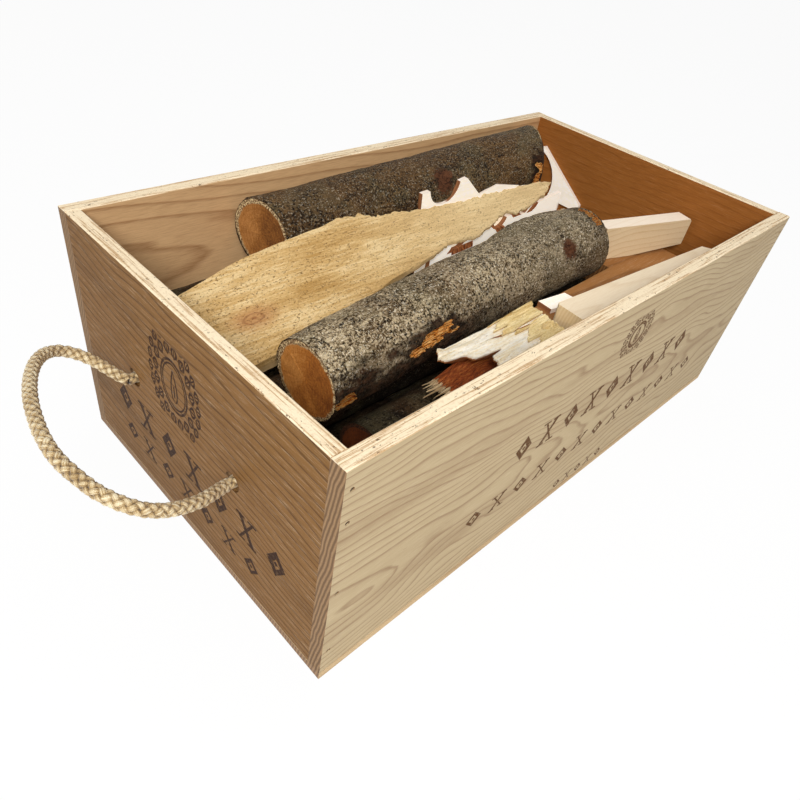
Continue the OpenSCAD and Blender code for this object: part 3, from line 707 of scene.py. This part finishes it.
# Painted shade: a dark copy of the bark for the logs that lie deep in the box.
SHADED_BARK = bark_material("shaded_bark", "#0e0906", "#1c130c", "#2b1d12", 2, 0.12)
CUT = cut_material("sawn_end", "#dd9c52", "#b6702c", "#784014")
BACK_CUT = cut_material("back_sawn_end", "#c98d4e", "#97602a", "#542c10")
# Painted shade: a dark copy of the sawn end for the same logs deep in the box.
SHADED_CUT = cut_material("shaded_sawn_end", "#8a4a22", "#5e2d12", "#371707", "#2c160c", "#5a3820")


def log_axis(node):
    """The ends of a CAD log's axis and its radius at each, from its own vertices."""
    co = np.array([v.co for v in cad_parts[node].data.vertices], float)
    reach = 4 * MM
    lo, hi = co[:, 0].min(), co[:, 0].max()
    ends = [co[co[:, 0] < lo + reach], co[co[:, 0] > hi - reach]]
    centres = [(e.min(0) + e.max(0)) / 2 for e in ends]
    return [(Vector(c) / MM, float(np.ptp(e[:, 1])) / 2 / MM) for c, e in zip(centres, ends)]


def turned(degrees, angle):
    """The difference of two angles, between -180 and 180 degrees."""
    return (degrees - angle + 180) % 360 - 180


def around_log(theta):
    return Vector((math.cos(theta), math.sin(theta), 0))


def ripple(q, wide, long, off):
    """Smooth noise with lumps that wide across the log and that long along it."""
    return noise.noise(Vector((q.x / wide, q.y / wide, q.z / long)) + off)


def bark_height(q, off, rough):
    """The bark's relief: swellings, ridges, grit and pits."""
    d = 1.1 * noise.noise(q / 34 + off) - BARK_SINK
    d += rough * (0.55 * ripple(q, 7, 13, off) + 0.4 * ripple(q, 2.6, 4, off))
    return d - rough * 1.6 * max(0.0, ripple(q, 3.2, 5, -off) - 0.42)


def torn_places(tears, q, s, degrees, off):
    """The height of the torn places at a point, and how torn, burnt and shaded it is there."""
    d, torn, burnt, shade = 0.0, 0.0, 0.0, 0.0
    for tear in tears:
        away = math.hypot((s - tear.at) / tear.long, turned(degrees, tear.angle) / tear.wide)
        inside = 1 - away + 0.55 * ripple(q, 5, 11, off) + 0.3 * ripple(q, 1.6, 6, off)
        w = clamp(inside * 4)
        shade = max(shade, min(1.0, 2.5 * (inside + 0.8)) * (1 - tear.char))
        if w > torn:
            torn, burnt = w, tear.char
        d += w * (1.6 * rag(q.x / 1.5, q.y / 1.5, q.z / 12) - tear.depth)
        if 0 < w < 1:
            d += 1.1 * math.sin(math.pi * w)
    return d, torn, burnt, shade


def stub_height(near, tall, q):
    """The height of a cut branch's scar, near being the distance from its middle."""
    d = tall * (1 - (near / 1.25) ** 4) if near < 1.25 else 0.0
    if near < 0.75:
        d -= 1.5 * (1 - near / 0.75) + 0.6 * noise.noise(q / 2)
    return d


def flake_height(flake, s, degrees):
    u = (s - flake.start) / (flake.stop - flake.start)
    v = turned(degrees, flake.angle) / flake.wide
    if not (0 < u < 1 and -1 < v < 1):
        return 0.0
    return math.sin(math.pi * u) ** 0.5 * (1 - v * v) * (flake.tall + 0.9 * rag(s / 6, degrees / 9, 3))


def shadow_at(shadow, q, s, degrees):
    v = abs(turned(degrees, shadow.angle)) / shadow.wide
    v += 0.35 * rag(s / 16, degrees / 12, 5) + 0.2 * noise.noise(q / 4)
    return clamp((1.0 - v) * 2.2) * (1 - 0.8 * clamp((s - shadow.fade) / 60))


def log_piece(node, body, ends, cuts=(0, 0), around=64, step=6.0, seed=0, rough=1.0, bow=0.0,
              tears=(), stub=None, flake=None, shadow=None, bark=SHADED_BARK, face=SHADED_CUT):
    """A log with bark: a displaced tube with sawn ends, in a frame of its own, z along it. cuts
    turn its two sawn ends away from the box's X, in degrees; without them they are square."""
    (a, ra), (b, rb) = ends
    length = (b - a).length
    z = (b - a).normalized()
    x = (Vector((0, 0, 1)) - z * z.z).normalized()
    y = z.cross(x)
    planes = [Vector((0, 0, 1))] * 2
    if any(cuts):
        normals = [around_log(math.radians(turn)) for turn in (cuts[0], -cuts[1])]
        planes = [Vector((n.dot(x), n.dot(y), n.dot(z))) for n in normals]
    off = Vector((seed * 91.7, seed * 37.1, seed * 11.3))
    points = []
    notes = {"torn": [], "rad": [], "scar": [], "shade": [], "burnt": []}

    def add(point, torn=0.0, rad=1.0, scar=0.0, shade=0.0, burnt=0.0):
        points.append(point * MM)
        for label, value in zip(notes, (torn, rad, scar, shade, burnt)):
            notes[label].append(value)

    def surface(theta, s):
        """A point of the bark, and how torn, scarred, shaded and burnt it is."""
        r0 = ra + (rb - ra) * clamp(s / length)
        c = around_log(theta)
        q = c * r0 + Vector((0, 0, s))
        degrees = math.degrees(theta)
        d, torn, burnt, shade = torn_places(tears, q, s, degrees, off)
        d += bark_height(q, off, rough)
        scar = 0.0
        if stub:
            near = math.hypot(s - stub.at, math.radians(turned(degrees, stub.angle)) * r0) / stub.size
            d += stub_height(near, stub.tall, q)
            scar = max(0.0, 1.25 - near)
        if flake:
            d += flake_height(flake, s, degrees)
        if shadow:
            shade = max(shade, shadow_at(shadow, q, s, degrees))
        lift = bow * math.sin(math.pi * clamp(s / length))
        return c * (r0 + d) + Vector((lift, -0.25 * lift, 0)), torn, scar, shade, burnt

    rows = max(8, int(length / step))
    thetas = [2 * math.pi * j / around for j in range(around)]
    for i in range(rows + 1):
        for th in thetas:
            s0 = -planes[0].dot(around_log(th) * ra) / planes[0].z
            s1 = length - planes[1].dot(around_log(th) * rb) / planes[1].z
            s = s0 + (s1 - s0) * i / rows
            c, torn, scar, shade, burnt = surface(th, s)
            if i in (0, rows):
                c = c * (1 - END_ROUND / ra)
                fray = 0.5 * rag(math.degrees(th) / 3.0, seed, i) + 0.5
                s += fray if i == 0 else -fray
            add(c + Vector((0, 0, s)), torn, 1.0, scar, shade, burnt)
    rings, faces = tube(0, len(points), around)
    barked = len(faces)
    for end, n in enumerate(planes):
        centre = Vector((0, 0, end * length))
        outer = rings[end * rows]
        for f in END_RINGS:
            ring = list(range(len(points), len(points) + around))
            for th in thetas:
                c = around_log(th) * ((rb if end else ra) * f)
                bump = 0.35 * rag(c.x / 1.2, c.y / 6, seed) + 0.5 * rag(c.x / 9, c.y / 9, seed) - 0.2
                bump -= 0.7 if f == BARK_GAP else 0
                add(centre + c + Vector((0, 0, bump * (1 if end else -1) - n.dot(c) / n.z)), rad=f)
            faces += join_rings(outer, ring, flip=not end)
            outer = ring
        add(centre, rad=0.0)
        for j, k in zip(outer, outer[1:] + outer[:1]):
            q = (j, k, len(points) - 1)
            faces.append(q if end else q[::-1])
    piece = make(node + "_wood", points, faces, [bark, face], body,
                 at=Matrix.Translation(a * MM) @ upright(x, y, z), notes=notes)
    piece.data.polygons.foreach_set("material_index", [0] * barked + [1] * (len(faces) - barked))
    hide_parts(node)


log_piece("middle_log", "middle_log", log_axis("middle_log"), around=144, step=1.8, seed=1, bow=4.2,
          tears=(Tear(88, 76, 20, 13, 1.4, 0.0), Tear(72, 82, 10, 8, 1.2, 0.2),
                 Tear(9, 95, 9, 10, 1.2, 0.5), Tear(306, 14, 5, 30, 0.8, 0.5)),
          stub=Stub(254, 50, 11, 0.3), flake=Flake(205, 292, -42, 22, 4.6),
          shadow=Shadow(120, 72, 115), bark=BARK, face=CUT)
log_piece("back_log", "box", ((Vector((-128, 98.2, 145.7)), 27), (Vector((183, 91, 151.8)), 34)),
          cuts=(10, 31), around=120, step=2.2, seed=2, rough=0.8, tears=(Tear(286, 92, 7, 30, 0.6, 0.0),),
          stub=Stub(163, 52, 14, 1.3), shadow=Shadow(135, 45, 999), bark=BROWN_BARK, face=BACK_CUT)
for seed, node in enumerate(("front_inner_log", "middle_inner_log", "thin_inner_log", "rear_inner_log",
                             "base_log_1", "base_log_2", "base_log_3", "base_log_4"), 3):
    ends = log_axis(node)
    if node == "front_inner_log":
        ends[0] = (ends[0][0] - Vector((FRONT_LOG_REACH, 0, 0)), ends[0][1])
    log_piece(node, "box", ends, seed=seed)


# -------- split wood

# The plank's slope across it and its knot, then how far from its left end its edges are torn, and
# how long its point is
PLANK_SLOPE = math.radians(38.5)
PLANK_KNOT = (-178, 33, 129)
BACK_TORN = 150
BACK_BROKEN = (171, 199)
FRONT_TORN = 225
PLANK_POINT = 9

# The torn billet: Y of its front and back side, X of its right end, and height of its top
BILLET_FRONT = -125.0
BILLET_BACK = -61.5
BILLET_END = -8.2
BILLET_TOP = 131.2
# The upper layer's torn left edge: Y, and X there
BILLET_EDGE = ((-125, -81), (-95, -78), (-84, -75), (-82.2, -61), (-80.5, -73), (-79, -85), (-75, -88),
               (-72.8, -91), (-71.2, -107), (-67, -109), (-62, -106), (-61.5, -103))
# The middle of a knot hole in it
BILLET_HOLE = (-15, -85.5)
# The heart: X from which its splinters reach out, a splinter's width, and the heights
COMB_ROOT = -99
SPLINTER = 2.2
HEART_TOP = 109
HEART_BOTTOM = 100.4


def split_material(name, pale, middle, dark, fleck, under, knot=None, flecks=0.7, bright=None):
    """Torn softwood with its fibres along X: short dark flecks and hollows browned as painted shade. under
    gives the colours where the piece's low is 1, browner ones being painted shade, and bright a colour that
    grows between two X."""
    g = Surface(name, 0.78)
    p = g.place()
    axes = g.split(p)
    fibres = g.drawn(p, 0, 0.05, 0.75, 4, 0.65)
    broad = g.drawn(p, 0, 0.25, 0.05, 3)
    fine = g.drawn(p, 0, 0.15, 2.4, 3, 0.7)
    rough = g.drawn(p, 0, 0.5, 1.1, 4, 0.8)
    colour = g.ramp(fibres * 0.35 + broad * 0.4 + fine * 0.15 + rough * 0.25 - 0.075,
                    (0.4, dark), (0.5, middle), (0.58, pale))
    dash = g.step(g.drawn(p, 0, 0.5, 1.05, 3, 0.75), 0.59, 0.63)
    colour = g.mix(dash * flecks, colour, fleck)
    if knot:
        away = g.distance((axes[0] - knot[0]) * 0.45, axes[1] - knot[1], axes[2] - knot[2])
        away = away + (g.noise(p, 0.12, 3) - 0.5) * 3
        colour = g.mix(g.step(away, 12, 2) * 0.6, colour, "#b47a4c")
        colour = g.mix(stroke(g, away - 3.2, 0.7, 0.6) * 0.55, colour, "#7a4525")
        colour = g.mix(g.step(away, 1.4, 0.6) * 0.6, colour, "#7a4525")
    if bright:
        colour = g.mix(g.step(axes[0], bright[0], bright[1]) * 0.45, colour, bright[2])
        colour = g.mix(dash * flecks * 0.6, colour, fleck)
    brown = g.ramp(fibres * 0.6 + fine * 0.4, (0.35, under[1]), (0.65, under[0]))
    colour = g.mix(g.step(g.attribute("low") + (fine - 0.5) * 0.3, 0.4, 0.6), colour, brown)
    return g.finish(colour, fibres * 0.8 + fine * 0.4 + rough * 0.5 - dash * 0.4, depth=0.7)


def slab(name, lines, starts, ends, count, top, bottom, swap, material, shade=None):
    """A closed slab between two ragged edges. lines are its stations along one axis, and
    starts and ends its edges there along the other; swap puts the stations along Y."""
    points, low, quads = [], [], []
    for face in (0, 1):
        for u, e0, e1 in zip(lines, starts, ends):
            for i in range(count + 1):
                v = e0 + (e1 - e0) * i / count
                x, y = (v, u) if swap else (u, v)
                z = bottom(x, y) if face else top(x, y)
                points.append(Vector((x, y, z)) * MM)
                low.append(1.0 if face else (shade(x, y) if shade else 0.0))
    n, m = len(lines), count + 1
    half = n * m
    for i in range(n - 1):
        for a in range(i * m, i * m + count):
            q = (a, a + m, a + m + 1, a + 1)
            quads += [q, tuple(half + k for k in reversed(q))]
    loop = [*range(count), *range(count, half - 1, m), *range(half - 1, half - m, -1),
            *range(half - m, 0, -m)]
    quads += join_rings(loop, [half + k for k in loop])
    faces = [q[::-1] for q in quads] if swap else quads
    piece = make(name, points, faces, material, notes={"low": low})
    piece.data.set_sharp_from_angle(angle=math.radians(50))
    return piece


def plank_frame():
    """Stations along the CAD plank, its front and back edges there, and its face's height at Y 0."""
    points = [v.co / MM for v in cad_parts["split_plank"].data.vertices]
    stations = sorted({round(p.x, 2) for p in points})
    edges = [[p.y for p in points if abs(p.x - x) < 0.02] for x in stations]
    left = [p for p in points if abs(p.x - stations[0]) < 0.02]
    back = max(left, key=lambda p: (p.y, p.z))
    return stations, [min(e) for e in edges], [max(e) for e in edges], back.z - math.tan(PLANK_SLOPE) * back.y


def plank():
    """The split plank: the CAD plank's outline with torn edges and a sharp right end."""
    xs, fronts, backs, lift = plank_frame()
    slope = math.tan(PLANK_SLOPE)
    long = xs[-1] - xs[0]
    stations = np.linspace(0, long, 320)
    front = np.interp(stations + xs[0], xs, fronts)
    back = np.interp(stations + xs[0], xs, backs)
    for k, d in enumerate(stations):
        broken = BACK_BROKEN[0] < d < BACK_BROKEN[1]
        chipped = clamp((d - BACK_TORN) / 15) * (1 + 1.2 * broken)
        back[k] += 0.3 * rag(d / 9, 1, 0) + chipped * (1.3 * rag(d / 7, 2, 0) + 0.7 * rag(d / 2.4, 3, 0))
        torn = clamp((d - FRONT_TORN) / 15)
        front[k] += 0.3 * rag(d / 12, 5, 0) + torn * (1.4 * rag(d / 8, 6, 0) + 0.8 * rag(d / 2.6, 7, 0))
        if d > long - PLANK_POINT:
            middle = back[k] - 0.4
            pinch = (long - d) / PLANK_POINT
            front[k] = middle + (front[k] - middle) * pinch
            back[k] = middle + (back[k] - middle) * pinch

    def top(x, y):
        d = math.hypot((x - PLANK_KNOT[0]) / 12, (y - PLANK_KNOT[1]) / 6)
        grain = 0.55 * rag(x / 60, y / 3.2, 0) + 0.3 * rag(x / 22, y / 1.3, 4) + 0.9 * rag(x / 80, y / 14, 9)
        return lift + slope * y + grain + math.exp(-d * d) - 0.3

    def bottom(x, y):
        edge = 8 - 6 * clamp((x - xs[0] - 150) / 100)
        deep = edge + (2 - edge) * (y - fronts[0]) / 66
        return lift + slope * y - max(1.2, deep) / math.cos(PLANK_SLOPE) + 0.4 * rag(x / 30, y / 3, 7)

    wood = split_material("split_pine", "#e6ca96", "#d0ab70", "#b38b4e", "#7d5a30", ("#dbbd8a", "#b28c5a"),
                          knot=PLANK_KNOT, bright=(-110, 90, "#f3dcac"))
    piece = slab("split_plank_wood", stations + xs[0], front, back, 34, top, bottom, False, wood)
    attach(piece, "split_plank")
    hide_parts("split_plank")


def billet_edge(y):
    return float(np.interp(y, [e[0] for e in BILLET_EDGE], [e[1] for e in BILLET_EDGE]))


def billet_crack(x, y):
    """How deep the long crack in the billet's top is there, from 0 to 1."""
    u = (x + 64) / 44
    if not 0 < u < 1:
        return 0.0
    away = abs(y + 74 + 0.14 * (x + 45) + 1.2 * rag(x / 14, 1, 1))
    return max(0.0, 1 - away / (0.35 + 1.25 * math.sin(math.pi * u) ** 0.8))


def billet_hole(x, y, long, wide):
    """How far inside a knot hole of those half sizes a point is, from 0 at its edge to 1."""
    return max(0.0, 1 - math.hypot((x - BILLET_HOLE[0]) / long, (y - BILLET_HOLE[1]) / wide))


def billet_top(x, y):
    z = BILLET_TOP + 0.05 * (y + 90) + 0.04 * (x + 50)
    z += 1.8 * rag(x / 40, y / 9, 3) + 1.0 * rag(x / 25, y / 3, 5) + 0.5 * rag(x / 12, y / 1.2, 6)
    if y > -64.5 - 0.05 * (x + 24) and x > -30:
        z += 2.2
    hole = 1 - billet_hole(x, y, 7.5, 3.2)
    z -= 2.6 * billet_crack(x, y) + 7 * (1 - hole * hole)
    return z + clamp((-98 - x) / 8) * (1.5 + 3.5 * max(0, (y + 66) / 5))


def billet_under(x, y):
    thick = 2.2 + 12 * clamp((x - billet_edge(y)) / 45)
    return billet_top(x, y) - thick + 1.5 * rag(x / 12, y / 4, 9)


# Painted shade: how brown the knot hole and the crack are, from 0 to 1.
def billet_hollow_shade(x, y):
    return max(min(1.0, 3 * billet_hole(x, y, 8, 3.6)), min(1.0, 1.6 * billet_crack(x, y)))


def heart_top(x, y):
    return HEART_TOP + 8 * clamp((x + 108) / 30) + 1.6 * rag(x / 18, y / 3, 12) + 0.6 * rag(x / 9, y, 13)


def heart_under(x, y):
    t = clamp((x + 112) / 16)
    return heart_top(x, y) - 0.7 - (heart_top(x, y) - HEART_BOTTOM) * t * t


def billet():
    """The torn billet: a white top, two yellow shreds on it, and a brown heart with splinters."""
    white = split_material("torn_pine", "#f6efe0", "#efdfbd", "#dabb86", "#a87744",
                           ("#b5733c", "#6e3a17"), flecks=0.25)
    yellow = split_material("torn_yellow", "#f2dfae", "#e2c98f", "#bf9a58", "#8a6232",
                            ("#c99d62", "#8a5a2c"), flecks=0.3)
    brown = split_material("torn_heart", "#c07238", "#96481c", "#5f2a10", "#3c1f0d",
                           ("#f0dcb4", "#c9a26c"), flecks=0.4)
    rows = np.linspace(BILLET_FRONT, BILLET_BACK, 110)
    left = [billet_edge(y) + 1.6 * rag(y / 2.2, 1, 0) + 0.9 * rag(y / 0.8, 2, 0) for y in rows]
    right = [BILLET_END + 0.5 * rag(y / 3, 8, 1) for y in rows]
    pieces = [slab("torn_billet_top", rows, left, right, 130, billet_top, billet_under, True, white,
                   billet_hollow_shade)]
    for word, y0, y1, start, rise, seed in (("back", -74.5, -62.3, -56, 1.7, 21),
                                            ("front", -97, -76.5, -44, 1.1, 23)):
        rows = np.linspace(y0, y1, 60)
        teeth = [start + 15 * (((y - y0) / (y1 - y0) * 1.9 + 0.1 * seed) % 1) + 4 * rag(y / 2.2, seed, 0)
                 + 2 * rag(y / 0.7, seed, 1) for y in rows]
        pieces.append(slab(f"torn_billet_{word}_layer", rows, teeth,
                           [BILLET_END - 0.1 + 1.2 * rag(y / 2, seed, 5) for y in rows], 60,
                           lambda x, y: billet_top(x, y) + rise + 0.5 * rag(x / 14, y / 1.1, seed),
                           lambda x, y: billet_top(x, y) - 0.6, True, yellow))
    rows = np.linspace(BILLET_FRONT + 0.2, -63, 250)
    comb = []
    for y in rows:
        at = y / SPLINTER + 0.35 * rag(y / 6, 2, 2)
        tooth = 1 - abs(at % 1 - 0.5) * 2
        reach = 9 + 26 * abs(rag(math.floor(at), 4, 4.5))
        comb.append(COMB_ROOT - reach * tooth ** 1.5 - 3 * rag(y / 9, 3, 3))
    pieces.append(slab("torn_billet_heart", rows, comb, [-9.0] * len(rows), 90, heart_top, heart_under,
                       True, brown, lambda x, y: clamp((-101 - x + 4 * rag(x / 5, y / 1.2, 2)) / 4)))
    for piece in pieces:
        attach(piece, "torn_billet")
    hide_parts("torn_billet")


plank()
billet()


# -------- slats and sawn pieces

def slat_material(name, axis, shapes=(), glow=0.2):
    """A pale slat whose laser-cut edges are burnt brown, with painted shade on the edges facing -X and a
    faint glow of its own colour as painted light. axis is the one across its face.
    """
    g = Surface(name, 0.6)
    p = g.place()
    n = g.facing()
    axes = g.split(p)
    grain = [0.8, 0.8, 0.8]
    grain[axis] = 1.0
    grain[0 if axis else 1] = 0.06
    fine = g.noise(g.scale(p, (0.3, 0.3, 0.3)), 1.6, 4, 0.6)
    long = g.noise(g.scale(p, grain), 0.9, 3)
    colour = g.ramp(long * 0.5 + fine * 0.5, (0.35, "#f3ebe0"), (0.5, "#fff4e2"), (0.7, "#ffffff"))
    layers = g.math("SINE", axes[axis] * 2.3) * 0.5 + 0.5
    burnt = g.mix(layers * 0.5 + (fine - 0.5) * 0.5, "#8a5a38", "#5f3921")
    # Burnt edges: a light burn on every cut edge, and painted shade that browns the edges facing -X fully.
    edge = g.step(abs(n[axis]), 0.8, 0.6)
    left = g.step(n[0] * -1, 0.1, 0.45 if axis else 2.0)
    for x, z, wide, tall, slant in shapes:
        up = axes[2] - z
        lean = axes[0] - x + up * slant + (g.noise(p, 0.14, 2) - 0.5) * 7
        mark = g.step(abs(lean), wide / 2 + 0.5, wide / 2) * g.step(abs(up), tall / 2 + 0.5, tall / 2)
        plies = g.noise(g.join(lean * 0.5, axes[2] * 0.05, 0.0), 1.0, 2)
        colour = g.mix(mark, colour, g.mix(g.step(plies, 0.4, 0.6), "#5c2f17", "#a0623a"))
    colour = g.mix(g.most(edge * left, edge * 0.35), colour, burnt)
    # Painted light: a faint glow in the slat's own colour.
    g.tree.links.new(colour.socket, g.shader.inputs["Emission Color"])
    g.shader.inputs["Emission Strength"].default_value = glow
    return g.finish(colour, fine + layers * 0.3, depth=0.12)


# Burnt shapes on a slat's face, brown patches that paint burnt notch walls partly as painted shade: X, Z,
# width, height, and how far they lean for each millimetre up
BURNT_AND_SHADED_NOTCHES = ((38, 119.5, 30, 6, 0.3), (26, 125, 9, 11, -0.9), (85.9, 127.4, 14, 19, 1.63),
                (109, 136, 12, 13, 1.35), (142, 132, 10, 7, -1.2))
dress("rear_slat", slat_material("slat_rear", 1), 0.4)
dress("under_slat", slat_material("slat_under", 1, BURNT_AND_SHADED_NOTCHES, 0.34), 0.4)
dress("end_slat", slat_material("slat_end", 0), 0.4)
dress("slat_offcut", slat_material("slat_offcut", 2), 0.4)
dress("front_stick", pine(
    "pine_stick", 0, (-100, 90), 6.0, "#ecd9b7", "#ceb083", strength=0.4, taper=0.08, seed=6,
    inside=(2, 1, "#f3e2c6", "#dcc09a", 0.3), end=("#e6cfa6", "#d8bb8e")), 0.8)
dress("pine_batten", pine(
    "pine_batten", 0, (-60, 100), 5.0, "#e7d0a9", "#cba671", strength=0.5, taper=0.02, seed=7,
    inside=(2, 1, "#fff2e2", "#f2dbc0", 0.3), end=("#cdb08a", "#8a6a4a")), 0.8)
dress("old_board", pine(
    "pine_old", 0, (-70, 30), 5.5, "#a3703f", "#704522", strength=0.7, taper=0.03, seed=8,
    end=("#8a6038", "#4a2d18")), 0.8)


# -------- stage

# The lamps: place and size in metres, and power in watts
LAMPS = (("key", (-0.95, -0.8, 1.1), 0.6, 22), ("top", (0.3, 0.2, 1.9), 1.2, 6))
LIT_POINT = (0, 0, 0.1)
SKY_COLOUR = (1.0, 0.985, 0.96, 1)
SKY_STRENGTH = 0.36
WHITE = (1, 1, 1, 1)
# The floor: half its side and its height in metres, its colour, and how white the camera sees it
FLOOR_HALF = 6
FLOOR_Z = -0.0002
FLOOR_COLOUR = (0.9, 0.9, 0.9, 1)
FLOOR_WHITE = 0.93


def set_sky():
    world = bpy.data.worlds.new("studio")
    bpy.context.scene.world = world
    world.use_nodes = True
    g = Graph(world.node_tree)
    sky = g.tree.nodes["Background"]
    sky.inputs[0].default_value = SKY_COLOUR
    sky.inputs[1].default_value = SKY_STRENGTH
    g.whiten(sky, g.node("Background", (0, WHITE), (1, 1.0)), "World Output")


def set_lamps():
    for name, place, size, power in LAMPS:
        light = bpy.data.lights.new(name, "AREA")
        light.size = size
        light.energy = power
        lamp = put(name, light)
        lamp.location = place
        lamp.rotation_euler = (Vector(LIT_POINT) - Vector(place)).to_track_quat("-Z", "Y").to_euler()


def set_floor():
    g = Surface("floor_paper", 0.95)
    lit = g.node("BsdfDiffuse", ("Color", FLOOR_COLOUR))
    glow = g.node("Emission", ("Color", WHITE), ("Strength", 1.0))
    g.whiten(lit, glow, "Material Output", FLOOR_WHITE)
    corners = [(x * FLOOR_HALF, y * FLOOR_HALF, FLOOR_Z) for x, y in ((-1, -1), (1, -1), (1, 1), (-1, 1))]
    floor = make("floor", corners, [(0, 1, 2, 3)], g.material, smooth=False)


set_sky()
set_lamps()
set_floor()
bpy.context.scene.view_settings.view_transform = "Standard"
